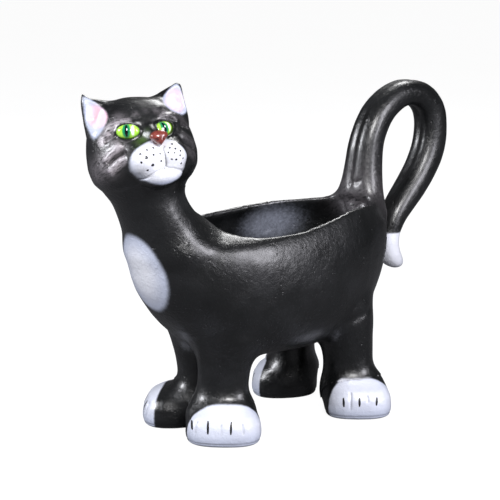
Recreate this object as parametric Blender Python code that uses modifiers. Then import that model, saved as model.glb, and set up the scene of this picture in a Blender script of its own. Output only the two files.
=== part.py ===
"""Hollow ceramic cat figurine with an open bowl for a body and a looped strap tail.

Metres, +Z up, the body facing -Y and the cat's left side towards +X.
Every clay piece that was shaped on its own and luted on is its own object.
"""
import bpy
import math
from mathutils import Matrix
from mathutils import Vector

# ---------------------------------------------------------------- driving dimensions
SLIP_GAP = 0.0003            # slip layer between two luted clay pieces
BOWL_WALL = 0.0052           # thrown wall of the bowl
HEAD_WALL = 0.0045           # pressed wall of the head and neck
LIP_ROUNDING = 0.0016        # sponged edge of the bowl lip

BOWL_SEGMENTS = 44
HEAD_SEGMENTS = 28
LEG_SEGMENTS = 20
PAW_SEGMENTS = 24
TAIL_SEGMENTS = 16

# Bowl sections from the belly up to the lip: height, front, rear, half width.
BOWL_SECTIONS = (
    (0.0585, -0.006, 0.024, 0.010),
    (0.0600, -0.036, 0.060, 0.030),
    (0.0660, -0.058, 0.083, 0.043),
    (0.0780, -0.077, 0.101, 0.052),
    (0.0960, -0.095, 0.114, 0.058),
    (0.1160, -0.108, 0.121, 0.0615),
    (0.1340, -0.1150, 0.1245, 0.0615),
    (0.1470, -0.1160, 0.1230, 0.0590),
    (0.1545, -0.105, 0.118, 0.0555),
    (0.1590, -0.063, 0.112, 0.0520),
)
BOWL_POLE_HEIGHT = 0.0582
BOWL_MIDDLE = 0.004
BOWL_SQUARENESS = 2.15         # 2 is an ellipse, more is squarer
LIP_RISE_AT_NECK = 0.010
LIP_RISE_AT_TAIL = 0.007
# The lip also swells over the haunches, more on the cat's left.
HAUNCH_RISE_LEFT = 0.0105
HAUNCH_RISE_RIGHT = 0.0035
HAUNCH_PLACE = 0.067
HAUNCH_SPREAD = 0.044

# Neck sections: height, centre along the body, half width across, half width along.
NECK_SECTIONS = (
    (0.138, -0.079, 0.0370, 0.0270),
    (0.147, -0.083, 0.0375, 0.0315),
    (0.156, -0.087, 0.0365, 0.0325),
    (0.170, -0.0945, 0.0325, 0.0305),
    (0.184, -0.1030, 0.0290, 0.0285),
    (0.197, -0.1085, 0.0275, 0.0272),
    (0.208, -0.1110, 0.0272, 0.0265),
)

HEAD_CENTRE = (0.000, -0.1125, 0.2272)
HEAD_YAW = math.radians(70.0)
HEAD_PITCH = math.radians(17.0)
HEAD_ROLL = math.radians(6.5)
# Head sections from the crown down to the neck hole: height, face, back, half width.
HEAD_SECTIONS = (
    (0.0335, -0.0105, 0.0105, 0.0125),
    (0.0308, -0.0200, 0.0190, 0.0230),
    (0.0239, -0.0275, 0.0275, 0.0315),
    (0.0138, -0.0320, 0.0325, 0.0368),
    (0.0018, -0.0342, 0.0352, 0.0394),
    (-0.0101, -0.0342, 0.0342, 0.0408),
    (-0.0202, -0.0315, 0.0315, 0.0390),
    (-0.0285, -0.0257, 0.0267, 0.0325),
    (-0.0331, -0.0175, 0.0200, 0.0230),
    (-0.0340, -0.0125, 0.0155, 0.0175),
)
HEAD_CROWN_HEIGHT = 0.0342
HEAD_SQUARENESS = 2.2

EAR_ROOT = (0.0262, -0.004, 0.0200)
EAR_TIP = (0.0375, -0.007, 0.0405)
EAR_HALF_WIDTH = 0.0158
EAR_HALF_DEPTH = 0.0062
EAR_SEGMENTS = 16
EAR_OUTWARD = (0.74, -0.05, -0.67)
# Ear rings: share of the way from root to tip, share of the full width.
EAR_RINGS = ((-0.35, 1.0), (-0.10, 1.0), (0.15, 0.93), (0.40, 0.76), (0.65, 0.50), (0.85, 0.26), (0.96, 0.11))
EAR_SCOOP_SHARE = 0.22
EAR_SCOOP_OFFSET = (0.0010, -0.0078, 0.0)
EAR_SCOOP_HALF_SIZE = (0.0096, 0.0075, 0.0145)
EAR_SCOOP_LEAN = math.radians(27.0)

EYE_HALF_SIZE = (0.0092, 0.0050, 0.0058)
# Each eye: side sign, centre in head space and turn outwards.
EYES = {
    "left": (1, (0.0093, -0.0296, 0.0067), math.radians(20.0)),
    "right": (-1, (-0.0157, -0.0285, 0.0084), math.radians(24.0)),
}
EYE_SLANT = math.radians(9.0)

BRIDGE_CENTRE = (-0.0004, -0.0332, 0.0018)
BRIDGE_HALF_SIZE = (0.0050, 0.0070, 0.0076)
NOSE_CENTRE = (0.0012, -0.0425, -0.0002)
NOSE_HALF_SIZE = (0.0066, 0.0046, 0.0054)
PAD_CENTRE = (0.0101, -0.0325, -0.0127)
PAD_HALF_SIZE = (0.0117, 0.0126, 0.0116)
CHIN_CENTRE = (0.0018, -0.0290, -0.0250)
CHIN_HALF_SIZE = (0.0150, 0.0118, 0.0092)

FRONT_LEG_HALF = (0.0212, 0.0160)
REAR_LEG_HALF = (0.0215, 0.0190)
LEG_SQUARENESS = 2.2
# Leg stations: height, share of the way from ankle to hip, width factor, depth factor.
LEG_STATIONS = (
    (0.0150, 0.00, 0.96, 0.90),
    (0.0240, 0.03, 0.98, 0.96),
    (0.0340, 0.10, 0.93, 0.93),
    (0.0430, 0.20, 0.92, 0.93),
    (0.0520, 0.34, 0.95, 0.97),
    (0.0610, 0.50, 1.00, 1.05),
    (0.0700, 0.66, 1.06, 1.12),
    (0.0790, 0.82, 1.08, 1.14),
    (0.0880, 0.93, 1.02, 1.06),
    (0.0970, 1.00, 0.88, 0.90),
    (0.1060, 1.00, 0.66, 0.68),
)

# Paw stations: height, half width, reach to the toes, reach to the heel.
PAW_STATIONS = (
    (0.0000, 0.0262, 0.0330, 0.0195),
    (0.0018, 0.0280, 0.0350, 0.0213),
    (0.0080, 0.0288, 0.0360, 0.0222),
    (0.0155, 0.0280, 0.0350, 0.0218),
    (0.0225, 0.0245, 0.0312, 0.0200),
    (0.0270, 0.0188, 0.0232, 0.0168),
    (0.0294, 0.0105, 0.0125, 0.0100),
)
PAW_TOP = (0.0, -0.002, 0.0300)
PAW_SQUARENESS = 2.5
TOE_WIDENING = 1.05            # how much wider a paw is at the toes than its station says
HEEL_TAPER = 0.34              # how much narrower it is at the heel than at the toes
PAW_SPLAY = math.radians(48.0)
FRONT_PAW_SCALE = 1.00
REAR_PAW_SCALE = 0.93

# Each leg: side sign, then plan positions of the paw, ankle and shoulder or hip, front pair or not.
LEG_LAYOUT = {
    "front_left": (1, (0.0165, -0.0455), (0.0150, -0.0485), (0.0230, -0.0500), True),
    "front_right": (-1, (-0.0320, -0.0430), (-0.0265, -0.0380), (-0.0250, -0.0440), True),
    "rear_left": (1, (0.0340, 0.0750), (0.0310, 0.0700), (0.0280, 0.0640), False),
    "rear_right": (-1, (-0.0340, 0.0680), (-0.0320, 0.0660), (-0.0280, 0.0610), False),
}

# Tail spine in the body's middle plane: along the body, height, half width, half thickness.
TAIL_SECTIONS = (
    (0.1100, 0.1500, 0.0260, 0.0165),
    (0.1105, 0.1620, 0.0215, 0.0150),
    (0.1120, 0.1760, 0.0175, 0.0138),
    (0.1140, 0.1920, 0.0155, 0.0132),
    (0.1170, 0.2090, 0.0145, 0.0128),
    (0.1260, 0.2260, 0.0140, 0.0124),
    (0.1400, 0.2375, 0.0138, 0.0118),
    (0.1570, 0.2430, 0.0138, 0.0110),
    (0.1740, 0.2400, 0.0138, 0.0112),
    (0.1860, 0.2290, 0.0138, 0.0120),
    (0.1900, 0.2130, 0.0138, 0.0128),
    (0.1880, 0.1960, 0.0138, 0.0134),
    (0.1800, 0.1800, 0.0138, 0.0130),
    (0.1690, 0.1660, 0.0136, 0.0122),
    (0.1570, 0.1535, 0.0132, 0.0114),
    (0.1470, 0.1420, 0.0126, 0.0104),
    (0.1420, 0.1310, 0.0118, 0.0092),
)
TAIL_TIP_SECTIONS = (
    (0.1418, 0.1306, 0.0118, 0.0092),
    (0.1404, 0.1220, 0.0116, 0.0090),
    (0.1425, 0.1130, 0.0112, 0.0088),
    (0.1480, 0.1060, 0.0100, 0.0078),
    (0.1540, 0.1025, 0.0074, 0.0056),
    (0.1585, 0.1012, 0.0034, 0.0026),
)
TAIL_TIP_END = (0.1600, 0.1010)
TAIL_SQUARENESS = 2.3

BLACK_GLAZE = (0.012, 0.012, 0.014, 1.0)
WHITE_GLAZE = (0.830, 0.835, 0.850, 1.0)
PINK_SLIP = (0.700, 0.380, 0.370, 1.0)
EYE_GLAZE = (0.560, 0.640, 0.060, 1.0)
NOSE_GLAZE = (0.170, 0.042, 0.030, 1.0)


# ---------------------------------------------------------------- scene housekeeping
def clear_scene():
    for item in list(bpy.data.objects):
        bpy.data.objects.remove(item, do_unlink=True)
    for group in list(bpy.data.collections):
        bpy.data.collections.remove(group)


def make_collection(name):
    group = bpy.data.collections.new(name)
    bpy.context.scene.collection.children.link(group)
    return group


def make_material(name, colour, roughness, coat):
    material = bpy.data.materials.new(name)
    material.use_nodes = True
    shader = material.node_tree.nodes["Principled BSDF"]
    shader.inputs["Base Color"].default_value = colour
    shader.inputs["Roughness"].default_value = roughness
    shader.inputs["Coat Weight"].default_value = coat
    shader.inputs["Coat Roughness"].default_value = 0.12
    material.diffuse_color = colour
    return material


# ---------------------------------------------------------------- lofting
def spline_value(before, start, end, after, share):
    """One Catmull-Rom value between start and end."""
    square = share * share
    cube = square * share
    term_one = (end - before) * share
    term_two = (2.0 * before - 5.0 * start + 4.0 * end - after) * square
    term_three = (3.0 * start - before - 3.0 * end + after) * cube
    return start + 0.5 * (term_one + term_two + term_three)


def refine_sections(sections, steps):
    """Smoothly subdivide a run of section tuples, keeping the given ones."""
    refined = []
    last = len(sections) - 1
    for index in range(last):
        start = sections[index]
        end = sections[index + 1]
        before = sections[index - 1] if index > 0 else start
        after = sections[index + 2] if index + 2 <= last else end
        for step in range(steps):
            share = step / steps
            values = zip(before, start, end, after)
            refined.append(tuple(spline_value(a, b, c, d, share) for a, b, c, d in values))
    refined.append(tuple(sections[last]))
    return refined


def bend(value, squareness):
    """Turn a circle's sine or cosine into a superellipse's. A squareness of 2 leaves it as it is."""
    return math.copysign(abs(value) ** (2.0 / squareness), value)


def rounded_ring(centre, across, along, half_across, half_along, segments, squareness=2.0):
    """Closed superellipse ring around a centre, in the plane of two unit directions."""
    points = []
    for index in range(segments):
        angle = 2.0 * math.pi * index / segments
        step_across = bend(math.cos(angle), squareness) * half_across
        step_along = bend(math.sin(angle), squareness) * half_along
        points.append(centre + across * step_across + along * step_along)
    return points


def loft_mesh(name, rings, start_pole=None, end_pole=None, cap_start=True, cap_end=True):
    """Skin a stack of equal rings. A pole closes an end to a point, a cap closes it flat."""
    vertices = []
    faces = []
    count = len(rings[0])
    for ring in rings:
        vertices.extend(ring)
    for level in range(len(rings) - 1):
        base = level * count
        for index in range(count):
            following = (index + 1) % count
            faces.append((base + index, base + following,
                          base + count + following, base + count + index))
    top = (len(rings) - 1) * count
    if start_pole is not None:
        vertices.append(start_pole)
        pole = len(vertices) - 1
        faces.extend((pole, (index + 1) % count, index) for index in range(count))
    elif cap_start:
        faces.append(tuple(reversed(range(count))))
    if end_pole is not None:
        vertices.append(end_pole)
        pole = len(vertices) - 1
        faces.extend((pole, top + index, top + (index + 1) % count) for index in range(count))
    elif cap_end:
        faces.append(tuple(top + index for index in range(count)))
    mesh = bpy.data.meshes.new(name)
    mesh.from_pydata([tuple(vertex) for vertex in vertices], [], faces)
    mesh.update()
    return mesh


def place(name, mesh, collection, material=None):
    piece = bpy.data.objects.new(name, mesh)
    collection.objects.link(piece)
    if material is not None:
        mesh.materials.append(material)
        for polygon in mesh.polygons:
            polygon.use_smooth = True
    return piece


def face_outwards(mesh):
    """Turn a closed mesh so that its faces look out."""
    volume = 0.0
    mesh.calc_loop_triangles()
    for triangle in mesh.loop_triangles:
        first, second, third = (mesh.vertices[index].co for index in triangle.vertices)
        volume += first.dot(second.cross(third))
    if volume < 0.0:
        mesh.flip_normals()
    mesh.update()


def grow_mesh(mesh, distance):
    """Move every vertex out along its normal."""
    moved = [vertex.co + vertex.normal * distance for vertex in mesh.vertices]
    for vertex, position in zip(mesh.vertices, moved):
        vertex.co = position
    mesh.update()


def seat_cutter(name, mesh, cutters):
    """A copy of a closed mesh grown by the slip gap, used to seat its neighbours."""
    copy = mesh.copy()
    copy.name = name
    copy.materials.clear()
    grow_mesh(copy, SLIP_GAP)
    cutter = place(name, copy, cutters)
    cutter.hide_render = True
    cutter.display_type = "WIRE"
    return cutter


def cut_away(piece, cutter):
    modifier = piece.modifiers.new("seat on " + cutter.name, "BOOLEAN")
    modifier.operation = "DIFFERENCE"
    modifier.solver = "EXACT"
    modifier.object = cutter


# ---------------------------------------------------------------- bowl
def lip_lift(cosine, sine, along, climb):
    """How far a bowl point rises above its section. Climb runs from 0 at the belly to 1 at the lip."""
    end_rise = LIP_RISE_AT_TAIL if sine > 0.0 else LIP_RISE_AT_NECK
    haunch_rise = HAUNCH_RISE_LEFT if cosine > 0.0 else HAUNCH_RISE_RIGHT
    near_haunch = math.exp(-((along - HAUNCH_PLACE) / HAUNCH_SPREAD) ** 2)
    end_climb = max(0.0, (climb - 0.86) / 0.14)
    haunch_climb = max(0.0, (climb - 0.60) / 0.40) ** 1.3
    lift = end_rise * end_climb * abs(sine) ** 6
    return lift + haunch_rise * near_haunch * haunch_climb * abs(cosine) ** 0.6


def bowl_rings(sections):
    rings = []
    last = len(sections) - 1
    for level, (height, front, rear, half_width) in enumerate(sections):
        points = []
        for index in range(BOWL_SEGMENTS):
            angle = 2.0 * math.pi * index / BOWL_SEGMENTS
            cosine = math.cos(angle)
            sine = math.sin(angle)
            reach = rear - BOWL_MIDDLE if sine > 0.0 else BOWL_MIDDLE - front
            across = bend(cosine, BOWL_SQUARENESS) * half_width
            along = BOWL_MIDDLE + bend(sine, BOWL_SQUARENESS) * reach
            lift = lip_lift(cosine, sine, along, level / last)
            points.append(Vector((across, along, height + lift)))
        rings.append(points)
    return rings


def make_bowl(shapes, cutters, glaze):
    rings = bowl_rings(refine_sections(BOWL_SECTIONS, 2))
    pole = Vector((0.0, BOWL_MIDDLE, BOWL_POLE_HEIGHT))
    mesh = loft_mesh("bowl_body", rings, start_pole=pole, cap_end=False)
    bowl = place("bowl_body", mesh, shapes, glaze)
    wall = bowl.modifiers.new("wall", "SOLIDIFY")
    wall.thickness = BOWL_WALL
    wall.offset = -1.0
    wall.use_even_offset = True
    lip = bowl.modifiers.new("lip", "BEVEL")
    lip.width = LIP_ROUNDING
    lip.segments = 2
    lip.limit_method = "ANGLE"
    lip.angle_limit = math.radians(58.0)
    filled = loft_mesh("bowl_filled", rings, start_pole=pole)
    face_outwards(filled)
    return seat_cutter("bowl_filled", filled, cutters)


# ---------------------------------------------------------------- neck and head
def head_frame():
    """Head space looks along its own -Y; this turns it towards the cat's left and up."""
    turn = Matrix.Rotation(HEAD_YAW, 4, "Z")
    nod = Matrix.Rotation(-HEAD_PITCH, 4, "X")
    tilt = Matrix.Rotation(-HEAD_ROLL, 4, "Y")
    return Matrix.Translation(Vector(HEAD_CENTRE)) @ turn @ nod @ tilt


def head_rings():
    rings = []
    for height, face, back, half_width in HEAD_SECTIONS:
        points = []
        for index in range(HEAD_SEGMENTS):
            angle = 2.0 * math.pi * index / HEAD_SEGMENTS
            sine = math.sin(angle)
            reach = back if sine > 0.0 else -face
            across = bend(math.cos(angle), HEAD_SQUARENESS) * half_width
            along = bend(sine, HEAD_SQUARENESS) * reach
            points.append(Vector((across, along, height)))
        rings.append(points)
    return rings


def make_head(shapes, cutters, glaze, frame):
    rings = head_rings()
    crown = Vector((0.0, 0.0, HEAD_CROWN_HEIGHT))
    mesh = loft_mesh("head", rings, start_pole=crown, cap_end=False)
    mesh.transform(frame)
    mesh.flip_normals()
    head = place("head", mesh, shapes, glaze)
    wall = head.modifiers.new("wall", "SOLIDIFY")
    wall.thickness = HEAD_WALL
    wall.offset = -1.0
    filled = loft_mesh("head_filled", rings, start_pole=crown)
    filled.transform(frame)
    face_outwards(filled)
    cutter = seat_cutter("head_filled", filled, cutters)
    return head, cutter


def neck_rings():
    rings = []
    across = Vector((1.0, 0.0, 0.0))
    along = Vector((0.0, 1.0, 0.0))
    for height, centre, half_across, half_along in NECK_SECTIONS:
        middle = Vector((0.0, centre, height))
        rings.append(rounded_ring(middle, across, along, half_across, half_along, HEAD_SEGMENTS))
    return rings


def make_neck(shapes, cutters, glaze, bowl_cutter, head_cutter):
    mesh = loft_mesh("neck", neck_rings(), cap_start=False, cap_end=False)
    neck = place("neck", mesh, shapes, glaze)
    wall = neck.modifiers.new("wall", "SOLIDIFY")
    wall.thickness = HEAD_WALL
    wall.offset = -1.0
    cut_away(neck, bowl_cutter)
    cut_away(neck, head_cutter)


def ellipsoid_mesh(name, centre, half_size, segments, levels):
    rings = []
    across = Vector((1.0, 0.0, 0.0))
    along = Vector((0.0, 1.0, 0.0))
    middle = Vector(centre)
    for level in range(1, levels):
        angle = math.pi * level / levels
        lift = Vector((0.0, 0.0, math.cos(angle) * half_size[2]))
        spread = math.sin(angle)
        rings.append(rounded_ring(middle + lift, across, along, half_size[0] * spread,
                                  half_size[1] * spread, segments))
    top = middle + Vector((0.0, 0.0, half_size[2]))
    bottom = middle - Vector((0.0, 0.0, half_size[2]))
    mesh = loft_mesh(name, rings, start_pole=top, end_pole=bottom)
    face_outwards(mesh)
    return mesh


def mirrored(point, side):
    return (point[0] * side, point[1], point[2])


def make_ear(name, side, shapes, cutters, slip, frame, head_cutter):
    root = Vector(mirrored(EAR_ROOT, side))
    tip = Vector(mirrored(EAR_TIP, side))
    rise = (tip - root).normalized()
    outward = Vector(mirrored(EAR_OUTWARD, side)).normalized()
    depth = rise.cross(outward).normalized()
    rings = []
    for share, width in EAR_RINGS:
        thickness = EAR_HALF_DEPTH * (0.45 + 0.55 * width) * min(1.0, 3.0 * width)
        rings.append(rounded_ring(root.lerp(tip, share), outward, depth, EAR_HALF_WIDTH * width,
                                  thickness, EAR_SEGMENTS))
    mesh = loft_mesh(name, rings, end_pole=tip)
    mesh.transform(frame)
    face_outwards(mesh)
    ear = place(name, mesh, shapes, slip)
    scoop_centre = root.lerp(tip, EAR_SCOOP_SHARE) + Vector(mirrored(EAR_SCOOP_OFFSET, side))
    scoop = ellipsoid_mesh(name + "_scoop", (0.0, 0.0, 0.0), EAR_SCOOP_HALF_SIZE, EAR_SEGMENTS, 8)
    scoop.transform(Matrix.Translation(scoop_centre) @ Matrix.Rotation(side * EAR_SCOOP_LEAN, 4, "Y"))
    scoop.transform(frame)
    face_outwards(scoop)
    cutter = place(scoop.name, scoop, cutters)
    cutter.hide_render = True
    cutter.display_type = "WIRE"
    cut_away(ear, cutter)
    cut_away(ear, head_cutter)


def make_eye(name, side, centre, outward_turn, shapes, cutters, glaze, frame, head):
    mesh = ellipsoid_mesh(name, (0.0, 0.0, 0.0), EYE_HALF_SIZE, 20, 10)
    turn = Matrix.Rotation(side * outward_turn, 4, "Z")
    slant = Matrix.Rotation(-side * EYE_SLANT, 4, "Y")
    mesh.transform(frame @ Matrix.Translation(Vector(centre)) @ turn @ slant)
    face_outwards(mesh)
    place(name, mesh, shapes, glaze)
    socket = seat_cutter(name + "_socket", mesh, cutters)
    cut_away(head, socket)
    return socket


def make_muzzle(shapes, cutters, white, brown, black, frame, head_cutter, sockets):
    pad_left_mesh = ellipsoid_mesh("whisker_pad_left", mirrored(PAD_CENTRE, 1), PAD_HALF_SIZE, 22, 12)
    pad_right_mesh = ellipsoid_mesh("whisker_pad_right", mirrored(PAD_CENTRE, -1), PAD_HALF_SIZE, 22, 12)
    chin_mesh = ellipsoid_mesh("chin", CHIN_CENTRE, CHIN_HALF_SIZE, 20, 10)
    nose_mesh = ellipsoid_mesh("nose", NOSE_CENTRE, NOSE_HALF_SIZE, 16, 8)
    bridge_mesh = ellipsoid_mesh("nose_bridge", BRIDGE_CENTRE, BRIDGE_HALF_SIZE, 18, 10)
    for mesh in (pad_left_mesh, pad_right_mesh, chin_mesh, nose_mesh, bridge_mesh):
        mesh.transform(frame)
    pad_left = place("whisker_pad_left", pad_left_mesh, shapes, white)
    pad_right = place("whisker_pad_right", pad_right_mesh, shapes, white)
    chin = place("chin", chin_mesh, shapes, white)
    nose = place("nose", nose_mesh, shapes, brown)
    bridge = place("nose_bridge", bridge_mesh, shapes, black)
    left_seat = seat_cutter("whisker_pad_left_seat", pad_left_mesh, cutters)
    right_seat = seat_cutter("whisker_pad_right_seat", pad_right_mesh, cutters)
    cut_away(pad_left, head_cutter)
    cut_away(pad_right, head_cutter)
    cut_away(pad_right, left_seat)
    for piece in (chin, nose, bridge):
        cut_away(piece, head_cutter)
        cut_away(piece, left_seat)
        cut_away(piece, right_seat)
    for socket in sockets:
        cut_away(bridge, socket)
    cut_away(nose, seat_cutter("nose_bridge_seat", bridge_mesh, cutters))


# ---------------------------------------------------------------- legs and paws
def make_paw(name, side, toe_root, scale, shapes, cutters, white):
    """Slab foot with a flat sole, pointing outwards from the body's forward direction."""
    across = Vector((1.0, 0.0, 0.0))
    along = Vector((0.0, 1.0, 0.0))
    rings = []
    for height, half_width, toe, heel in PAW_STATIONS:
        middle = Vector((0.0, 0.5 * (heel - toe) * scale, height))
        ring = rounded_ring(middle, across, along, half_width * scale, 0.5 * (heel + toe) * scale,
                            PAW_SEGMENTS, PAW_SQUARENESS)
        for point in ring:
            share = (point.y + toe * scale) / ((heel + toe) * scale)
            point.x *= TOE_WIDENING - HEEL_TAPER * share
        rings.append(ring)
    mesh = loft_mesh(name, rings, end_pole=Vector(PAW_TOP))
    turn = Matrix.Rotation(side * PAW_SPLAY, 4, "Z")
    mesh.transform(Matrix.Translation(Vector((toe_root[0], toe_root[1], 0.0))) @ turn)
    face_outwards(mesh)
    place(name, mesh, shapes, white)
    return seat_cutter(name + "_seat", mesh, cutters)


def make_leg(name, side, ankle, hip, front, shapes, glaze, bowl_cutter, paw_cutter):
    half = FRONT_LEG_HALF if front else REAR_LEG_HALF
    across = Vector((math.cos(PAW_SPLAY), side * math.sin(PAW_SPLAY), 0.0))
    along = Vector((-side * math.sin(PAW_SPLAY), math.cos(PAW_SPLAY), 0.0))
    rings = []
    for height, share, width, depth in LEG_STATIONS:
        middle = Vector((ankle[0] + (hip[0] - ankle[0]) * share,
                         ankle[1] + (hip[1] - ankle[1]) * share, height))
        rings.append(rounded_ring(middle, across, along, half[0] * width, half[1] * depth,
                                  LEG_SEGMENTS, LEG_SQUARENESS))
    mesh = loft_mesh(name, rings)
    face_outwards(mesh)
    leg = place(name, mesh, shapes, glaze)
    cut_away(leg, bowl_cutter)
    cut_away(leg, paw_cutter)


# ---------------------------------------------------------------- tail
def strap_rings(sections):
    """Rings set square to a spine that runs in the body's middle plane."""
    rings = []
    across = Vector((1.0, 0.0, 0.0))
    last = len(sections) - 1
    for index, (along, height, half_width, half_thickness) in enumerate(sections):
        before = sections[max(0, index - 1)]
        after = sections[min(last, index + 1)]
        travel = Vector((0.0, after[0] - before[0], after[1] - before[1])).normalized()
        outwards = across.cross(travel)
        middle = Vector((0.0, along, height))
        rings.append(rounded_ring(middle, across, outwards, half_width, half_thickness,
                                  TAIL_SEGMENTS, TAIL_SQUARENESS))
    return rings


def make_tail(shapes, cutters, glaze, white, bowl_cutter):
    mesh = loft_mesh("tail_loop", strap_rings(refine_sections(TAIL_SECTIONS, 2)))
    face_outwards(mesh)
    loop = place("tail_loop", mesh, shapes, glaze)
    cut_away(loop, bowl_cutter)
    end = Vector((0.0, TAIL_TIP_END[0], TAIL_TIP_END[1]))
    tip_mesh = loft_mesh("tail_tip", strap_rings(refine_sections(TAIL_TIP_SECTIONS, 2)), end_pole=end)
    face_outwards(tip_mesh)
    tip = place("tail_tip", tip_mesh, shapes, white)
    loop_seat = seat_cutter("tail_loop_seat", mesh, cutters)
    cut_away(tip, loop_seat)
    cut_away(tip, bowl_cutter)


# ---------------------------------------------------------------- assembly
def centre_on_floor(shapes, cutters):
    """Put the bounding box's middle over the origin and its base on the floor."""
    bpy.context.view_layer.update()
    graph = bpy.context.evaluated_depsgraph_get()
    low = [1.0e9, 1.0e9, 1.0e9]
    high = [-1.0e9, -1.0e9, -1.0e9]
    for piece in shapes.objects:
        solid = piece.evaluated_get(graph).to_mesh()
        for vertex in solid.vertices:
            for axis in range(3):
                low[axis] = min(low[axis], vertex.co[axis])
                high[axis] = max(high[axis], vertex.co[axis])
        piece.evaluated_get(graph).to_mesh_clear()
    shift = Vector((-0.5 * (low[0] + high[0]), -0.5 * (low[1] + high[1]), -low[2]))
    for group in (shapes, cutters):
        for piece in group.objects:
            piece.data.transform(Matrix.Translation(shift))
            piece.data.update()


def main():
    clear_scene()
    shapes = make_collection("cat_figurine")
    cutters = make_collection("cutters")
    black = {}
    for name in ("bowl_body", "neck", "head", "leg_front_left", "leg_front_right",
                 "leg_rear_left", "leg_rear_right", "tail_loop"):
        black[name] = make_material(name + "_black_glaze", BLACK_GLAZE, 0.28, 0.6)
    white = {}
    for name in ("paw_front_left", "paw_front_right", "paw_rear_left", "paw_rear_right", "tail_tip"):
        white[name] = make_material(name + "_white_glaze", WHITE_GLAZE, 0.25, 0.7)
    muzzle_white = make_material("muzzle_white_glaze", WHITE_GLAZE, 0.25, 0.7)
    brown = make_material("nose_brown_glaze", NOSE_GLAZE, 0.18, 0.9)
    pink = make_material("ear_pink_slip", PINK_SLIP, 0.40, 0.3)
    green = make_material("eye_green_glaze", EYE_GLAZE, 0.06, 1.0)

    bowl_cutter = make_bowl(shapes, cutters, black["bowl_body"])
    frame = head_frame()
    head, head_cutter = make_head(shapes, cutters, black["head"], frame)
    make_neck(shapes, cutters, black["neck"], bowl_cutter, head_cutter)
    sockets = []
    for word, (side, centre, outward_turn) in EYES.items():
        make_ear("ear_" + word, side, shapes, cutters, pink, frame, head_cutter)
        sockets.append(make_eye("eye_" + word, side, centre, outward_turn, shapes, cutters, green,
                                frame, head))
    make_muzzle(shapes, cutters, muzzle_white, brown, black["head"], frame,
                head_cutter, sockets)
    for place_name, (side, foot, ankle, hip, front) in LEG_LAYOUT.items():
        scale = FRONT_PAW_SCALE if front else REAR_PAW_SCALE
        paw_cutter = make_paw("paw_" + place_name, side, foot, scale, shapes, cutters,
                              white["paw_" + place_name])
        make_leg("leg_" + place_name, side, ankle, hip, front, shapes,
                 black["leg_" + place_name], bowl_cutter, paw_cutter)
    make_tail(shapes, cutters, black["tail_loop"], white["tail_tip"], bowl_cutter)
    centre_on_floor(shapes, cutters)


main()
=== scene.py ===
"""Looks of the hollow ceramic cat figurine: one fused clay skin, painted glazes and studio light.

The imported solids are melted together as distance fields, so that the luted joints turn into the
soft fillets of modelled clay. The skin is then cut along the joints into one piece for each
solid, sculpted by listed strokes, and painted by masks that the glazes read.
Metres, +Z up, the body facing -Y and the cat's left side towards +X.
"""

import math
from collections import namedtuple

import bpy
import numpy as np
import openvdb
from mathutils import Matrix
from mathutils import Vector
from mathutils.bvhtree import BVHTree


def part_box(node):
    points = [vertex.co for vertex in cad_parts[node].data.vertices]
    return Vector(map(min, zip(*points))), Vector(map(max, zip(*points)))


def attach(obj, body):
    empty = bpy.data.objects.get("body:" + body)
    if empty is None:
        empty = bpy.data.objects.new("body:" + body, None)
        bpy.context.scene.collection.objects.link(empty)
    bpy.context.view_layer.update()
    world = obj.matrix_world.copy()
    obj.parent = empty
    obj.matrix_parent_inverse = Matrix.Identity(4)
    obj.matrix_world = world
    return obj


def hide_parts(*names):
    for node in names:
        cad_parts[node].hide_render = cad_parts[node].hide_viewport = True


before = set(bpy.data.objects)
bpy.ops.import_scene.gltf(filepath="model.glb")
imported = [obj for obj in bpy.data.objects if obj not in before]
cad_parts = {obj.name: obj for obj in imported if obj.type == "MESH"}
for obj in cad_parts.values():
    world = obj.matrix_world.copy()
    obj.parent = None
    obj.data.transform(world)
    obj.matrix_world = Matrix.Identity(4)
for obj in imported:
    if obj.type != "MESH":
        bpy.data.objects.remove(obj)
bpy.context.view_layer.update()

# ---- driving dimensions
BODY_STEP = 0.00135          # spacing of the field that the body is skinned from
HEAD_STEP = 0.00054
PAW_STEP = 0.00060
SEAM_OVERLAP = 0.0015        # how far two skins of unlike spacing run over each other

HEAD_CENTRE = (0.0003, -0.1374, 0.2272)
HEAD_YAW = math.radians(70.0)
HEAD_PITCH = math.radians(17.0)
HEAD_ROLL = math.radians(6.5)

# Each eye: side sign, centre in head space and turn outwards.
EYES = {
    "left": (1, (0.0093, -0.0296, 0.0067), math.radians(20.0)),
    "right": (-1, (-0.0157, -0.0285, 0.0093), math.radians(24.0)),
}
EYE_SLANT = math.radians(9.0)
EYE_HALF_SIZE = (0.0092, 0.0050, 0.0058)
LID_HALF_LENGTH = 0.0080
LID_HALF_HEIGHT = 0.0048
BALL_SHARE = 0.92              # the eyeball's size against the CAD's, which leaves room for the lids
BALL_SET_BACK = 0.0005

NOSE_CENTRE = (0.0012, -0.0425, -0.0002)
NOSE_HALF_SIZE = (0.0066, 0.0046, 0.0054)
NOSTRIL_HALF_SIZE = (0.0014, 0.0016, 0.0009)

PAW_SPLAY = math.radians(48.0)
# Each paw: side sign, plan position and size factor.
PAWS = {
    "front_left": (1, (0.0168, -0.0704), 1.00),
    "front_right": (-1, (-0.0317, -0.0679), 1.00),
    "rear_left": (1, (0.0343, 0.0501), 0.93),
    "rear_right": (-1, (-0.0337, 0.0431), 0.93),
}


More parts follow.
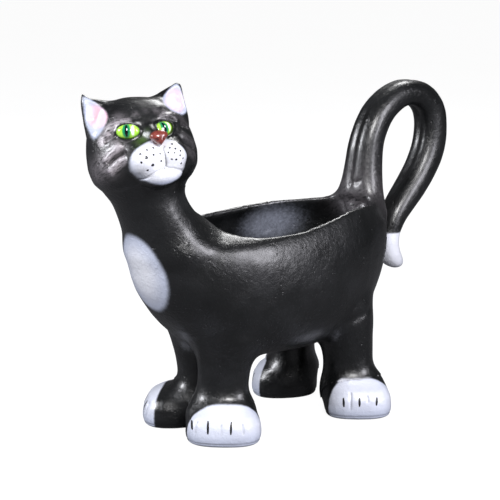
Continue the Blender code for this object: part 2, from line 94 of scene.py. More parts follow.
# ---- distance fields
class Lattice:
    """A box of evenly spaced points on which distance fields are held."""

    def __init__(self, low, high, step):
        self.step = step
        self.start = np.floor(np.array(low) / step).astype(int)
        stop = np.ceil(np.array(high) / step).astype(int)
        self.shape = tuple(int(count) for count in stop - self.start + 1)
        self.transform = openvdb.createLinearTransform(voxelSize=step)

    def coordinates(self):
        """Coordinates of the points, shaped to broadcast over the box."""
        lines = [((self.start[axis] + np.arange(self.shape[axis])) * self.step).astype(np.float32)
                 for axis in range(3)]
        return np.meshgrid(*lines, indexing="ij", sparse=True)

    def distance(self, name, reach):
        """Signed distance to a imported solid, cut off at reach."""
        points, triangles = solid_of(name)
        grid = openvdb.FloatGrid.createLevelSetFromPolygons(
            points, triangles=triangles, transform=self.transform, halfWidth=reach / self.step)
        field = np.full(self.shape, reach, np.float32)
        grid.copyToArray(field, ijk=tuple(int(count) for count in self.start))
        return field

    def skin(self, field):
        """Points and four-sided faces of the surface where the field is zero."""
        grid = openvdb.FloatGrid(float(field.max()))
        grid.copyFromArray(field, ijk=tuple(int(count) for count in self.start))
        grid.transform = self.transform
        points, _, quads = grid.convertToPolygons(isovalue=0.0, adaptivity=0.0)
        return np.asarray(points, float), np.asarray(quads, int)

    def sample(self, field, points):
        """Field values at points, by trilinear interpolation."""
        place = points / self.step - self.start
        limit = np.array(self.shape) - 2
        cell = np.clip(np.floor(place).astype(int), 0, limit)
        share = np.clip(place - cell, 0.0, 1.0)
        total = np.zeros(len(points))
        for corner in range(8):
            offset = np.array([corner & 1, corner >> 1 & 1, corner >> 2 & 1])
            weight = np.prod(np.where(offset, share, 1.0 - share), axis=1)
            index = cell + offset
            total += weight * field[index[:, 0], index[:, 1], index[:, 2]]
        return total


def solid_of(name):
    """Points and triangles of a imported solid."""
    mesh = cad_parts[name].data
    mesh.calc_loop_triangles()
    points = np.array([vertex.co for vertex in mesh.vertices])
    return points, np.array([triangle.vertices for triangle in mesh.loop_triangles], np.uint32)


def melt(first, second, width):
    """Union of two fields with a fillet of about the given width."""
    near = np.maximum(width - np.abs(first - second), 0.0) / width
    return np.minimum(first, second) - near * near * (0.25 * width)


def carve(field, cutter, width):
    """The field with the cutter taken away, its edge rounded by about the given width."""
    return -melt(-field, cutter, width)


def ellipsoid(coordinates, centre, half):
    """About the distance to an ellipsoid."""
    out = np.sqrt(sum(((value - middle) / size) ** 2
                      for value, middle, size in zip(coordinates, centre, half)))
    return ((out - 1.0) * min(half)).astype(np.float32)


# How far each field is softened, in steps of its lattice.
BODY_BLUR = 1.76
PAW_BLUR = 2.6
HEAD_BLUR = 4.2
JOINED_BLUR = 2.5
MUZZLE_BLUR = 1.5
NOSE_BLUR = 1.2


def soften(field, cells):
    """The field blurred by a bell curve, which rounds facets and arrises."""
    reach = int(math.ceil(2.6 * cells))
    taps = np.exp(-0.5 * (np.arange(-reach, reach + 1) / cells) ** 2)
    taps = (taps / taps.sum()).astype(np.float32)
    for axis in range(3):
        margins = [(reach, reach) if other == axis else (0, 0) for other in range(3)]
        padded = np.moveaxis(np.pad(field, margins, mode="edge"), axis, 0)
        count = field.shape[axis]
        total = sum(weight * padded[offset:offset + count] for offset, weight in enumerate(taps))
        field = np.ascontiguousarray(np.moveaxis(total, 0, axis))
    return field


def to_local(matrix, coordinates):
    """Coordinates in a turned and moved space."""
    inverse = np.array(matrix.inverted())
    x, y, z = coordinates
    return tuple(inverse[row, 0] * x + inverse[row, 1] * y + inverse[row, 2] * z + inverse[row, 3]
                 for row in range(3))


def smooth_step(low, high, values):
    share = np.clip((values - low) / (high - low), 0.0, 1.0)
    return share * share * (3.0 - 2.0 * share)


def bell(values, width):
    return np.exp(-(values / width) ** 2)


# ---- the head's and paws' own spaces
def head_space():
    """Head space looks along its own -Y; this turns it towards the cat's left and up."""
    turn = Matrix.Rotation(HEAD_YAW, 4, "Z")
    nod = Matrix.Rotation(-HEAD_PITCH, 4, "X")
    tilt = Matrix.Rotation(-HEAD_ROLL, 4, "Y")
    return Matrix.Translation(Vector(HEAD_CENTRE)) @ turn @ nod @ tilt


def eye_space(word):
    side, centre, outward_turn = EYES[word]
    turn = Matrix.Rotation(side * outward_turn, 4, "Z")
    slant = Matrix.Rotation(-side * EYE_SLANT, 4, "Y")
    return head_space() @ Matrix.Translation(Vector(centre)) @ turn @ slant


def paw_space(word):
    """Paw space has its toes towards -Y and the sole on the floor."""
    side, foot, _ = PAWS[word]
    turn = Matrix.Rotation(side * PAW_SPLAY, 4, "Z")
    return Matrix.Translation(Vector((foot[0], foot[1], 0.0))) @ turn


def lid_distance(x, z):
    """Distance to the almond opening between the lids, in eye space."""
    radius = (LID_HALF_LENGTH ** 2 + LID_HALF_HEIGHT ** 2) / (2.0 * LID_HALF_HEIGHT)
    drop = radius - LID_HALF_HEIGHT
    upper = np.hypot(x, z + drop) - radius
    lower = np.hypot(x, z - drop) - radius
    return -melt(-upper, -lower, 0.0012)


# ---- skins
def box_around(names, margin):
    boxes = np.array([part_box(name) for name in names])
    return boxes[:, 0].min(axis=0) - margin, boxes[:, 1].max(axis=0) + margin


def fuse(lattice, recipe, reach):
    """Melts solids together in order, as (name, fillet) says. Also gives each one's own field."""
    fields = {}
    total = None
    for name, fillet in recipe:
        fields[name] = lattice.distance(name, reach)
        total = fields[name] if total is None else melt(total, fields[name], fillet)
    return total, fields


def labels_at(lattice, fields, places, bias):
    """Index of the solid nearest to each place, after adding a bias to some of them."""
    values = [lattice.sample(field, places) + bias.get(name, 0.0) for name, field in fields.items()]
    return np.argmin(values, axis=0)


def clay_unevenness(points):
    """Hand-made lows and highs of a few tenths of a millimetre."""
    x, y, z = points.T
    slow = np.sin(61.0 * x + 23.0 * z + 1.3) * np.sin(47.0 * y - 31.0 * z + 0.4)
    mid = np.sin(117.0 * y + 71.0 * x + 2.1) * np.sin(139.0 * z - 53.0 * y + 0.9)
    quick = np.sin(263.0 * z + 151.0 * x) * np.sin(241.0 * y + 0.7)
    return 0.00034 * slow + 0.00016 * mid + 0.00006 * quick


def mesh_normals(points, quads):
    """Unit normal at each point, averaged over its faces by area."""
    corners = points[quads]
    face_normals = np.cross(corners[:, 2] - corners[:, 0], corners[:, 3] - corners[:, 1])
    normals = np.zeros_like(points)
    np.add.at(normals, quads.ravel(), np.repeat(face_normals, 4, axis=0))
    return normals / np.maximum(np.linalg.norm(normals, axis=1), 1e-12)[:, None]


def relax(points, quads, rounds, strength):
    """Slides each point towards the middle of its neighbours."""
    edges = np.concatenate([quads[:, [corner, (corner + 1) % 4]] for corner in range(4)])
    counts = np.bincount(edges.ravel(), minlength=len(points))
    for _ in range(rounds):
        total = np.zeros_like(points)
        np.add.at(total, edges.ravel(), points[edges[:, ::-1].ravel()])
        points = points + strength * (total / counts[:, None] - points)
    return points


def surface_tree(points, quads):
    return BVHTree.FromPolygons([tuple(point) for point in points], quads.tolist())


def sculpted_skin(lattice, field, fields, bias, rounds, strength, uneven=1.0):
    """Points, faces, point normals and nearest solids of a field's skin, smoothed and a little uneven."""
    points, quads = lattice.skin(field)
    labels = labels_at(lattice, fields, points[quads].mean(axis=1), bias)
    points = widen_paws(relax(points, quads, rounds, strength))
    normals = mesh_normals(points, quads)
    off_floor = smooth_step(0.002, 0.012, points[:, 2])
    points = points + normals * (uneven * clay_unevenness(points) * off_floor)[:, None]
    return points, quads, normals, labels


# ---- strokes on a skin
MM = 0.001
# A line pressed into, or raised from, a skin: points, radius and height in millimetres, and the share
# of its length over which each end fades.
Stroke = namedtuple("Stroke", "points radius height taper", defaults=(0.25,))


def along_line(points, spacing):
    """Evenly spaced places along a smooth curve through given points."""
    places = []
    for index in range(len(points) - 1):
        start, end = points[index], points[index + 1]
        before = points[max(index - 1, 0)]
        after = points[min(index + 2, len(points) - 1)]
        steps = max(2, int(np.linalg.norm(end - start) / spacing))
        for step in range(steps):
            t = step / steps
            places.append(start + 0.5 * ((end - before) * t
                                         + (2 * before - 5 * start + 4 * end - after) * t * t
                                         + (3 * start - before - 3 * end + after) * t ** 3))
    return places + [points[-1]]


def stroke_reach(stroke, space, tree, points):
    """Distance of each point to a stroke laid on the skin, and the stroke's strength there."""
    world = [space @ Vector(place) for place in along_line(np.array(stroke.points) * MM, 0.0004)]
    places = np.array([tree.find_nearest(place)[0] for place in world])
    count = len(places)
    ends = np.minimum(np.arange(count), np.arange(count)[::-1]) / max(count - 1, 1)
    strength = smooth_step(0.0, max(stroke.taper, 1e-3), ends + 0.02)
    distance = np.full(len(points), 1.0)
    weight = np.zeros(len(points))
    reach = 3.2 * stroke.radius * MM
    low, high = places.min(axis=0) - reach, places.max(axis=0) + reach
    chosen = np.flatnonzero(np.all((points > low) & (points < high), axis=1))
    if len(chosen) > 0:
        gaps = np.linalg.norm(points[chosen, None, :] - places[None, :, :], axis=2)
        distance[chosen] = gaps.min(axis=1)
        weight[chosen] = strength[gaps.argmin(axis=1)]
    return distance, weight


def press(points, normals, strokes, space, tree):
    """The points moved along their normals by a list of strokes."""
    height = np.zeros(len(points))
    for stroke in strokes:
        distance, weight = stroke_reach(stroke, space, tree, points)
        height += stroke.height * MM * weight * bell(distance, stroke.radius * MM)
    return points + normals * height[:, None]


def line_mask(points, strokes, space, tree, half_width):
    """1 on the strokes and 0 away from them, with a soft edge."""
    mask = np.zeros(len(points))
    for stroke in strokes:
        distance, weight = stroke_reach(stroke, space, tree, points)
        mask = np.maximum(mask, weight * (1.0 - smooth_step(0.45 * half_width, 1.5 * half_width, distance)))
    return mask


def mirrored(points):
    return [(-x, y, z) for x, y, z in points]


def in_space(matrix, points):
    inverse = np.array(matrix.inverted())
    return points @ inverse[:3, :3].T + inverse[:3, 3]


# ---- pieces
def boundary_groups(faces):
    """Directed edges that only one face uses, grouped into closed loops."""
    edges = dict.fromkeys(edge for face in faces for edge in zip(face, face[1:] + face[:1]))
    free = [edge for edge in edges if edge[::-1] not in edges]
    home = {}

    def root(point):
        while home.setdefault(point, point) != point:
            home[point] = home[home[point]]
            point = home[point]
        return point

    for start, end in free:
        home[root(start)] = root(end)
    groups = {}
    for edge in free:
        groups.setdefault(root(edge[0]), []).append(edge)
    return groups.values()


def make_object(name, points, faces, material):
    mesh = bpy.data.meshes.new(name)
    mesh.from_pydata(points, [], faces)
    mesh.update()
    mesh.shade_smooth()
    mesh.materials.append(material)
    piece = bpy.data.objects.new(name, mesh)
    bpy.context.scene.collection.objects.link(piece)
    return piece


def make_piece(name, points, quads, normals, masks, material):
    """An object of some faces of a skin, closed inside by a fan across each open edge."""
    used, inverse = np.unique(quads, return_inverse=True)
    own_points = [tuple(point) for point in points[used]]
    own_normals = [tuple(normal) for normal in normals[used]]
    own_masks = {key: list(values[used]) for key, values in masks.items()}
    polygons = [tuple(face) for face in inverse.reshape(quads.shape).tolist()]
    for group in boundary_groups(polygons):
        rim = sorted({start for start, _ in group})
        hub = len(own_points)
        for values in (own_points, own_normals):
            values.append(tuple(np.mean([values[index] for index in rim], axis=0)))
        for values in own_masks.values():
            values.append(float(np.mean([values[index] for index in rim])))
        polygons.extend((end, start, hub) for start, end in group)
    piece = make_object(name, own_points, polygons, material)
    piece.data.normals_split_custom_set_from_vertices(own_normals)
    for key, values in own_masks.items():
        attribute = piece.data.attributes.new(key, "FLOAT", "POINT")
        attribute.data.foreach_set("value", np.array(values, np.float32))
    return piece


def ring_faces(base, rings, spokes):
    """Faces between stacked rings of points, and a fan from the last ring to the point after it."""
    faces = []
    last = base + (rings - 1) * spokes
    for spoke in range(spokes):
        following = (spoke + 1) % spokes
        for first in range(base, last, spokes):
            above = first + spokes
            faces.append((first + spoke, first + following, above + following, above + spoke))
        faces.append((last + spoke, last + following, last + spokes))
    return faces


def settle(piece, slot, *nodes):
    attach(piece, "root")
    if nodes:
        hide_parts(*nodes)


def make_pieces(names, owned, points, quads, labels, normals, masks, material):
    """One piece for each owned solid, of the faces nearest to it."""
    for index, name in enumerate(names):
        if name in owned:
            own = quads[labels == index]
            piece = make_piece(name + "_clay", points, own, normals, masks, material[name])
            settle(piece, SLOTS[name], name)


# ---- glazes
class Graph:
    """Short-hand for building a material's nodes."""

    def __init__(self, name):
        self.material = bpy.data.materials.new(name)
        self.material.use_nodes = True
        self.tree = self.material.node_tree
        self.shader = self.tree.nodes["Principled BSDF"]

    def add(self, kind, settings=None, **inputs):
        node = self.tree.nodes.new(kind)
        for key, value in (settings or {}).items():
            setattr(node, key, value)
        for key, value in inputs.items():
            self.feed(node, key.replace("_", " "), value)
        return node

    def feed(self, node, key, value):
        socket = node.inputs[int(key)] if key.isdigit() else node.inputs[key]
        if isinstance(value, bpy.types.NodeSocket):
            self.tree.links.new(value, socket)
        else:
            socket.default_value = value

    def math(self, operation, first, second=0.0, third=0.0):
        node = self.add("ShaderNodeMath", {"operation": operation})
        for index, value in enumerate((first, second, third)):
            self.feed(node, str(index), value)
        return node.outputs[0]

    def mix(self, factor, first, second):
        node = self.add("ShaderNodeMix", {"data_type": "RGBA"})
        self.feed(node, "0", factor)
        self.feed(node, "6", first)
        self.feed(node, "7", second)
        return node.outputs[2]

    def ramp(self, value, low, high, to_low=0.0, to_high=1.0):
        node = self.add("ShaderNodeMapRange", {"interpolation_type": "SMOOTHSTEP"})
        for key, amount in (("Value", value), ("From Min", low), ("From Max", high),
                            ("To Min", to_low), ("To Max", to_high)):
            self.feed(node, key, amount)
        return node.outputs[0]

    def attribute(self, name):
        return self.add("ShaderNodeAttribute", {"attribute_name": name}).outputs["Fac"]

    def place(self):
        return self.add("ShaderNodeTexCoord").outputs["Object"]

    def along(self, direction, lengthwise, crosswise):
        """Object coordinates in which noise is drawn out along a direction."""
        upright = Vector(direction).rotation_difference(Vector((0.0, 0.0, 1.0))).to_euler()
        turned = self.add("ShaderNodeMapping", Vector=self.place(), Rotation=upright)
        return self.add("ShaderNodeMapping", Vector=turned.outputs[0],
                        Scale=(crosswise, crosswise, lengthwise)).outputs[0]

    def noise(self, place, scale, detail=3.0, rough=0.5, warp=0.0):
        return self.add("ShaderNodeTexNoise", Vector=place, Scale=scale, Detail=detail,
                        Roughness=rough, Distortion=warp).outputs[0]

    def cells(self, place, scale):
        return self.add("ShaderNodeTexVoronoi", Vector=place, Scale=scale).outputs["Distance"]

    def bump(self, height, distance, strength, normal=None):
        node = self.add("ShaderNodeBump", Height=height, Distance=distance, Strength=strength)
        if normal is not None:
            self.feed(node, "Normal", normal)
        return node.outputs[0]

    def finish(self, coat, coat_roughness, specular, **inputs):
        fixed = {"Coat Weight": coat, "Coat Roughness": coat_roughness, "Specular IOR Level": specular}
        for key, value in fixed.items():
            self.shader.inputs[key].default_value = value
        for key, value in inputs.items():
            self.feed(self.shader, key.replace("_", " "), value)
        return self.material


BLACK = (0.0020, 0.0024, 0.0026, 1.0)
SOFT_BLACK = (0.0045, 0.0050, 0.0058, 1.0)
DRY_GREY = (0.360, 0.330, 0.355, 1.0)
WHITE = (0.72, 0.73, 0.78, 1.0)
SHADED_WHITE = (0.40, 0.44, 0.56, 1.0)
PINK = (0.88, 0.52, 0.60, 1.0)
LEAF = (0.060, 0.115, 0.025, 1.0)
PENCIL = (0.022, 0.022, 0.028, 1.0)
BLACK_SHINE = (0.40, 0.24, 0.50)       # coat weight, coat roughness, specular level
FOLD_DIRECTION = (-0.83, -0.30, -0.45)  # the way the cheek folds and their brush marks run
MASKS = ("white", "shade", "pink", "line", "green", "dry")


def glaze(name):
    """Hand-brushed black glaze with painted white, pink, grey and green, each by its own mask."""
    graph = Graph(name)
    place = graph.place()
    cloud = graph.noise(place, 34.0, 4.0, 0.55)
    fine = graph.noise(place, 420.0, 3.0, 0.6)
    leather = graph.noise(place, 230.0, 5.0, 0.62, 0.6)
    pits = graph.ramp(graph.cells(place, 260.0), 0.05, 0.30)
    rare = graph.ramp(graph.noise(place, 60.0, 2.0), 0.50, 0.66)
    white, shade, pink, line, green, dry = (graph.attribute(key) for key in MASKS)
    bare = graph.math("MULTIPLY", rare, graph.math("SUBTRACT", 1.0, white))
    pitted = graph.math("MULTIPLY", graph.math("SUBTRACT", 1.0, pits), bare)

    colour = graph.mix(graph.ramp(cloud, 0.38, 0.70), BLACK, SOFT_BLACK)
    streaks = graph.noise(graph.along(FOLD_DIRECTION, 150.0, 750.0), 1.0, 4.0, 0.65, 0.25)
    brushed = graph.math("MULTIPLY", dry, graph.ramp(streaks, 0.28, 0.56))
    colour = graph.mix(brushed, colour, DRY_GREY)
    colour = graph.mix(green, colour, LEAF)
    edge = graph.math("ADD", white, graph.math("MULTIPLY", graph.math("SUBTRACT", fine, 0.5), 0.22))
    covered = graph.ramp(edge, 0.12, 0.88)
    chalk = graph.mix(graph.ramp(cloud, 0.30, 0.75, 0.0, 0.22), WHITE, SHADED_WHITE)
    chalk = graph.mix(shade, chalk, SHADED_WHITE)
    chalk = graph.mix(pink, chalk, PINK)
    colour = graph.mix(covered, colour, chalk)
    colour = graph.mix(line, colour, PENCIL)

    black_roughness = graph.ramp(cloud, 0.3, 0.7, 0.30, 0.44)
    white_roughness = graph.ramp(fine, 0.3, 0.7, 0.28, 0.40)
    blend = graph.add("ShaderNodeMix", {"data_type": "FLOAT"})
    for key, value in (("0", covered), ("2", black_roughness), ("3", white_roughness)):
        graph.feed(blend, key, value)
    roughness = graph.math("ADD", blend.outputs[0], graph.math("MULTIPLY", brushed, 0.18))

    relief = graph.bump(leather, 0.0011, 0.55)
    relief = graph.bump(graph.math("SUBTRACT", 1.0, pitted), 0.0006, 0.7, relief)
    relief = graph.bump(fine, 0.0002, 0.35, relief)
    return graph.finish(*BLACK_SHINE, Base_Color=colour, Roughness=roughness, Normal=relief)


PUPIL_CENTRE = (-0.0006, 0.0003)
# Painted ovals of the eye: centre, half size, shares of it where the paint starts and is full, colour.
EYE_OVALS = (
    ((0.0, 0.0), (0.0092, 0.0060), 0.72, 1.0, (0.10, 0.30, 0.02, 1.0)),              # the iris's dark rim
    (PUPIL_CENTRE, (0.0036, 0.0062), 1.05, 0.62, (0.010, 0.215, 0.085, 1.0)),        # its teal heart
    ((0.0038, 0.0002), (0.0014, 0.0042), 1.1, 0.55, (0.88, 0.93, 0.86, 1.0)),        # a painted highlight beside the slit
    (PUPIL_CENTRE, (0.00125, 0.0044), 1.05, 0.85, (0.004, 0.005, 0.006, 1.0)),       # the slit
    ((-0.0001, 0.0012), (0.0005, 0.0008), 1.2, 0.7, (0.85, 0.88, 0.90, 1.0)),        # the glint
)


def eye_glaze(name):
    """Lime iris painted over with slightly wavy ovals, in the eye's own space."""
    graph = Graph(name)
    place = graph.place()
    split = graph.add("ShaderNodeSeparateXYZ", Vector=place)
    wobble = graph.math("SUBTRACT", graph.noise(place, 900.0, 3.0), 0.5)
    across = graph.math("ADD", split.outputs[0], graph.math("MULTIPLY", wobble, 0.0007))
    cloudy = graph.noise(place, 300.0, 3.0)
    colour = graph.mix(graph.ramp(cloudy, 0.3, 0.7), (0.33, 0.70, 0.045, 1.0), (0.46, 0.80, 0.10, 1.0))
    for centre, half, start, full, paint in EYE_OVALS:
        squares = []
        for value, middle, size in zip((across, split.outputs[2]), centre, half):
            offset = graph.math("DIVIDE", graph.math("SUBTRACT", value, middle), size)
            squares.append(graph.math("MULTIPLY", offset, offset))
        oval = graph.math("SQRT", graph.math("ADD", *squares))
        colour = graph.mix(graph.ramp(oval, start, full), colour, paint)
    roughness = graph.ramp(cloudy, 0.3, 0.7, 0.07, 0.13)
    relief = graph.bump(cloudy, 0.0002, 0.25)
    return graph.finish(0.8, 0.05, 0.5, Base_Color=colour, Roughness=roughness, Normal=relief)


def nose_glaze(name):
    """Glossy brick-brown glaze, mottled redder in places and dark in the nostrils."""
    graph = Graph(name)
    place = graph.place()
    cloudy = graph.noise(place, 260.0, 4.0)
    fine = graph.noise(place, 1400.0, 3.0)
    colour = graph.mix(graph.ramp(cloudy, 0.3, 0.7), (0.135, 0.026, 0.020, 1.0), (0.230, 0.052, 0.040, 1.0))
    colour = graph.mix(graph.attribute("line"), colour, (0.020, 0.006, 0.006, 1.0))
    roughness = graph.ramp(fine, 0.3, 0.7, 0.16, 0.28)
    relief = graph.bump(cloudy, 0.0006, 0.5)
    relief = graph.bump(fine, 0.0001, 0.4, relief)
    return graph.finish(0.7, 0.08, 0.5, Base_Color=colour, Roughness=roughness, Normal=relief)


def mark_glaze(name):
    """Thick black enamel of the whisker dots and claw slots."""
    graph = Graph(name)
    cloudy = graph.noise(graph.place(), 1500.0, 3.0)
    colour = graph.mix(graph.ramp(cloudy, 0.3, 0.7), (0.004, 0.004, 0.005, 1.0), (0.014, 0.013, 0.015, 1.0))
    roughness = graph.ramp(cloudy, 0.3, 0.7, 0.25, 0.45)
    relief = graph.bump(cloudy, 0.0001, 0.4)
    return graph.finish(0.1, 0.20, 0.3, Base_Color=colour, Roughness=roughness, Normal=relief)


# ---- body skin
PAW_FILLET = 0.013
# Solids melted into the body, in order, each with its fillet; the last five only lend their fillets.
BODY_NODES = ("bowl_body", "neck", *("leg_" + word for word in PAWS), "tail_loop", "tail_tip")
BODY_RECIPE = (*zip(BODY_NODES, (0.0, 0.013, 0.011, 0.011, 0.011, 0.011, 0.006, 0.003)),
               ("head", 0.009), *(("paw_" + word, PAW_FILLET) for word in PAWS))
BODY_REACH = 0.014
# The lump of clay that carries the foot of the tail down the inner wall.
GUSSET_CENTRE = (-0.001, 0.0850, 0.1520)
GUSSET_HALF = (0.0200, 0.0095, 0.0190)
GUSSET_FILLET = 0.008
CHEST_CENTRE = (0.0, 0.1335)                 # across and up
CHEST_HALF_SIZE = (0.0235, 0.0305)
TAIL_TIP_TOP = 0.1300                        # height at which the tail turns white
# painted sheen: a faint dry-brushed grey spot at the foot of the tail
TAIL_FOOT_SHEEN = ((0, 82, 165), 22, 0.25)    # place and radius in millimetres, and strength
# painted highlight on the far inner wall: its middle, half size and strength
PAINTED_WALL_HIGHLIGHT_CENTRE = (0.033, 0.140)            # along the body and up
PAINTED_WALL_HIGHLIGHT_HALF_SIZE = (0.040, 0.024)
PAINTED_WALL_HIGHLIGHT = 0.42
TAIL_GROOVE_WIDTH = 0.0034
TAIL_GROOVE_DEPTH = 0.0016

TAIL_STROKES = (
    Stroke([(6, 84, 178), (1, 85, 167), (0, 83, 157)], 1.6, -1.2),
    Stroke([(16, 88, 166), (9, 80, 160), (3, 78, 152)], 2, -1),
    Stroke([(-16, 89, 164), (-10, 80, 158), (-6, 77, 150)], 2.2, -1),
    Stroke([(13, 79, 157), (8, 74, 150)], 3, 1.2),
)
BODY_STROKES = TAIL_STROKES + (
    # creases where the front legs meet under the chest
    Stroke([(3, -102, 86), (1, -92, 72), (-4, -86, 60)], 2, -1.4),
    Stroke([(20, -100, 80), (14, -95, 60), (12, -93, 46)], 3.5, 0.8),
    # the crease where the belly hangs over the near hind leg
    Stroke([(47.4, 15, 76.2), (48.5, 30, 79.5), (50, 43, 84), (48, 58, 89)], 3.4, -0.8, 0.45),
    # a thumbed swirl on the far inner wall
    Stroke([(-44, 22, 128), (-46, 30, 124), (-45, 37, 129), (-46, 33, 135), (-47, 26, 133)],
           2.2, -0.8, 0.1),
)


def spots(places, points):
    """The strongest of some soft round spots: place and radius in millimetres, and strength."""
    return np.max([strength * bell(np.linalg.norm(points - np.array(place) * MM, axis=1), radius * MM)
                   for place, radius, strength in places], axis=0)


def body_masks(fields, lattice, points, normals):
    x, y, z = points.T
    oval = np.hypot((x - CHEST_CENTRE[0]) / CHEST_HALF_SIZE[0], (z - CHEST_CENTRE[1]) / CHEST_HALF_SIZE[1])
    front = smooth_step(-0.05, 0.12, -normals[:, 1]) * smooth_step(0.085, 0.095, -y)
    chest = (1.0 - smooth_step(0.80, 1.14, oval)) * front
    chest_shade = smooth_step(0.25, 1.00, oval) * 0.85
    tip = 1.0 - smooth_step(TAIL_TIP_TOP - 0.0016, TAIL_TIP_TOP + 0.0016, z)
    tip *= smooth_step(0.085, 0.095, y)
    tip *= 1.0 - smooth_step(0.002, 0.004, lattice.sample(fields["tail_tip"], points))
    painted_highlight = inner_haze(points, normals)
    toes = [toe_mask(word, points) for word in PAWS]
    return {
        # white holds the chest, tail tip and toes, and also the painted highlight on the inner wall, which
        # shade turns bluish grey
        "white": np.max([chest, tip, painted_highlight] + toes, axis=0),
        "shade": np.where(chest > 0.02, chest_shade, np.where(painted_highlight > 0.02, 0.8, 0.15)),
        # painted sheen at the foot of the tail
        "dry": spots((TAIL_FOOT_SHEEN,), points),
    }


def inner_haze(points, normals):
    """Painted highlight high on the far inner wall, in bluish-grey white glaze where the lights' sheen
    falls.
    """
    x, y, z = points.T
    offset = np.hypot((y - PAINTED_WALL_HIGHLIGHT_CENTRE[0]) / PAINTED_WALL_HIGHLIGHT_HALF_SIZE[0],
                      (z - PAINTED_WALL_HIGHLIGHT_CENTRE[1]) / PAINTED_WALL_HIGHLIGHT_HALF_SIZE[1])
    on_far_wall = smooth_step(0.3, 0.7, normals[:, 0]) * smooth_step(-0.010, -0.020, x)
    return PAINTED_WALL_HIGHLIGHT * smooth_step(1.35, 0.15, offset) * on_far_wall


def groove_tail(points, normals, tail_field):
    """A long hollow down the strap's outer and inner faces, which leaves two rolls of clay."""
    x, y, z = points.T
    on_tail = 1.0 - smooth_step(0.0010, 0.0040, tail_field)
    above_rim = smooth_step(0.160, 0.180, z + 0.35 * (y - 0.085))
    facing = smooth_step(0.25, 0.65, 1.0 - np.abs(normals[:, 0]))
    over_top = 1.0 - 0.65 * bell(z - 0.254, 0.014)
    profile = TAIL_GROOVE_DEPTH * bell(x + 0.0006, TAIL_GROOVE_WIDTH)
    return points - normals * (profile * on_tail * above_rim * facing * over_top)[:, None]


def make_body(material):
    low, high = box_around(BODY_NODES, 0.007)
    lattice = Lattice(low, high, BODY_STEP)
    field, fields = fuse(lattice, BODY_RECIPE, BODY_REACH)
    field = melt(field, ellipsoid(lattice.coordinates(), GUSSET_CENTRE, GUSSET_HALF), GUSSET_FILLET)
    field = soften(field, BODY_BLUR)
    points, quads, normals, labels = sculpted_skin(lattice, field, fields, {}, 3, 0.5)
    points = groove_tail(points, normals, lattice.sample(fields["tail_loop"], points))
    tree = surface_tree(points, quads)
    points = press(points, normals, BODY_STROKES, Matrix.Identity(4), tree)
    normals = mesh_normals(points, quads)
    masks = body_masks(fields, lattice, points, normals)
    make_pieces(fields, BODY_NODES, points, quads, labels, normals, masks, material)


# ---- paws
# Where the white starts, ahead of the ankle.
TOE_EDGE = {"middle": 0.0195, "lateral": 0.0110, "medial front": 0.0225, "medial rear": 0.0290}
PAW_HALF_WIDTH = 0.0288
# Claw slots and toe lines in millimetres: place towards the outside, lowest and highest end.
REAR_CLAWS = ((-10.9, 10.5, 18.5), (1.2, 11.0, 18.8), (14.5, 11.5, 18.5))
CLAWS = {
    "front_left": ((-25.0, 12.5, 19.5), (-13.0, 10.5, 21.2), (4.0, 10.5, 21.2)),
    "front_right": ((-17.0, 11.0, 20.0), (-6.0, 10.5, 21.2), (8.0, 10.5, 21.2)),
    "rear_left": REAR_CLAWS,
    "rear_right": REAR_CLAWS,
}
TOE_LINES = {
    "front": ((-21.0, 8.0, 21.0), (-3.0, 9.0, 20.5), (13.5, 10.0, 20.5)),
    "rear": ((-5.8, 7.5, 26.5), (8.0, 14.0, 22.0)),
}
TOE_ARC = (34.0, 36.0)                        # half width and length of the arc that the toes stand on
CLAW_HALF_WIDTH = 0.00125
CLAW_LEAN = 0.0004
SOLE_LINE_HEIGHT = 0.0030
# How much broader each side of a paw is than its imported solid: the outer and the inner side.
PAW_GROWTH = {"front": (0.02, 0.16), "rear": (0.12, 0.06)}
PAW_SHADE = 0.45                              # how much greyer the toes are than the muzzle


def widen_paws(points):
    """Broadens the slab feet towards the floor, each side by its own share."""
    for word, (side, _, _) in PAWS.items():
        space = paw_space(word)
        local = in_space(space, points)
        lateral, medial = PAW_GROWTH[word.split("_")[0]]
        low = 1.0 - smooth_step(0.020, 0.044, local[:, 2])
        near = 1.0 - smooth_step(0.046, 0.060, np.hypot(local[:, 0], local[:, 1]))
        ahead = smooth_step(0.020, -0.010, local[:, 1])
        outwards = side * local[:, 0]
        share = np.where(outwards > 0.0, lateral, medial * ahead) * low * near
        sideways = np.array(space.to_3x3() @ Vector((1.0, 0.0, 0.0)))
        points = points + (local[:, 0] * share)[:, None] * sideways
    return points


def toe_mask(word, points):
    """1 on the white toes, with a soft sprayed edge that leans forward on the inner side."""
    side, _, scale = PAWS[word]
    x, y, z = in_space(paw_space(word), points).T
    outwards = np.clip(side * x / (PAW_HALF_WIDTH * scale), -1.0, 1.0)
    outer = TOE_EDGE["lateral"] - TOE_EDGE["middle"]
    inner = TOE_EDGE["medial " + word.split("_")[0]] - TOE_EDGE["middle"]
    edge = TOE_EDGE["middle"] + np.where(outwards > 0, outer * outwards ** 2, inner * outwards ** 2)
    ahead = -y / scale - edge
    near = 1.0 - smooth_step(0.044, 0.050, np.hypot(x, y))
    low = 1.0 - smooth_step(0.0285, 0.0335, z)
    return smooth_step(-0.0016, 0.0022, ahead) * near * low


def paw_front(word, across, height):
    """A place just ahead of the toes, in paw space and in millimetres."""
    side, _, scale = PAWS[word]
    ahead = math.sqrt(max(0.05, 1.0 - (across / TOE_ARC[0]) ** 2))
    return side * across, -TOE_ARC[1] * scale * ahead, height


def toe_strokes(word):
    strokes = []
    for across, low, high in TOE_LINES[word.split("_")[0]]:
        places = [paw_front(word, across, height) for height in np.linspace(low, high, 5)]
        strokes.append(Stroke(places, 0.9, -0.7, 0.3))
    return strokes


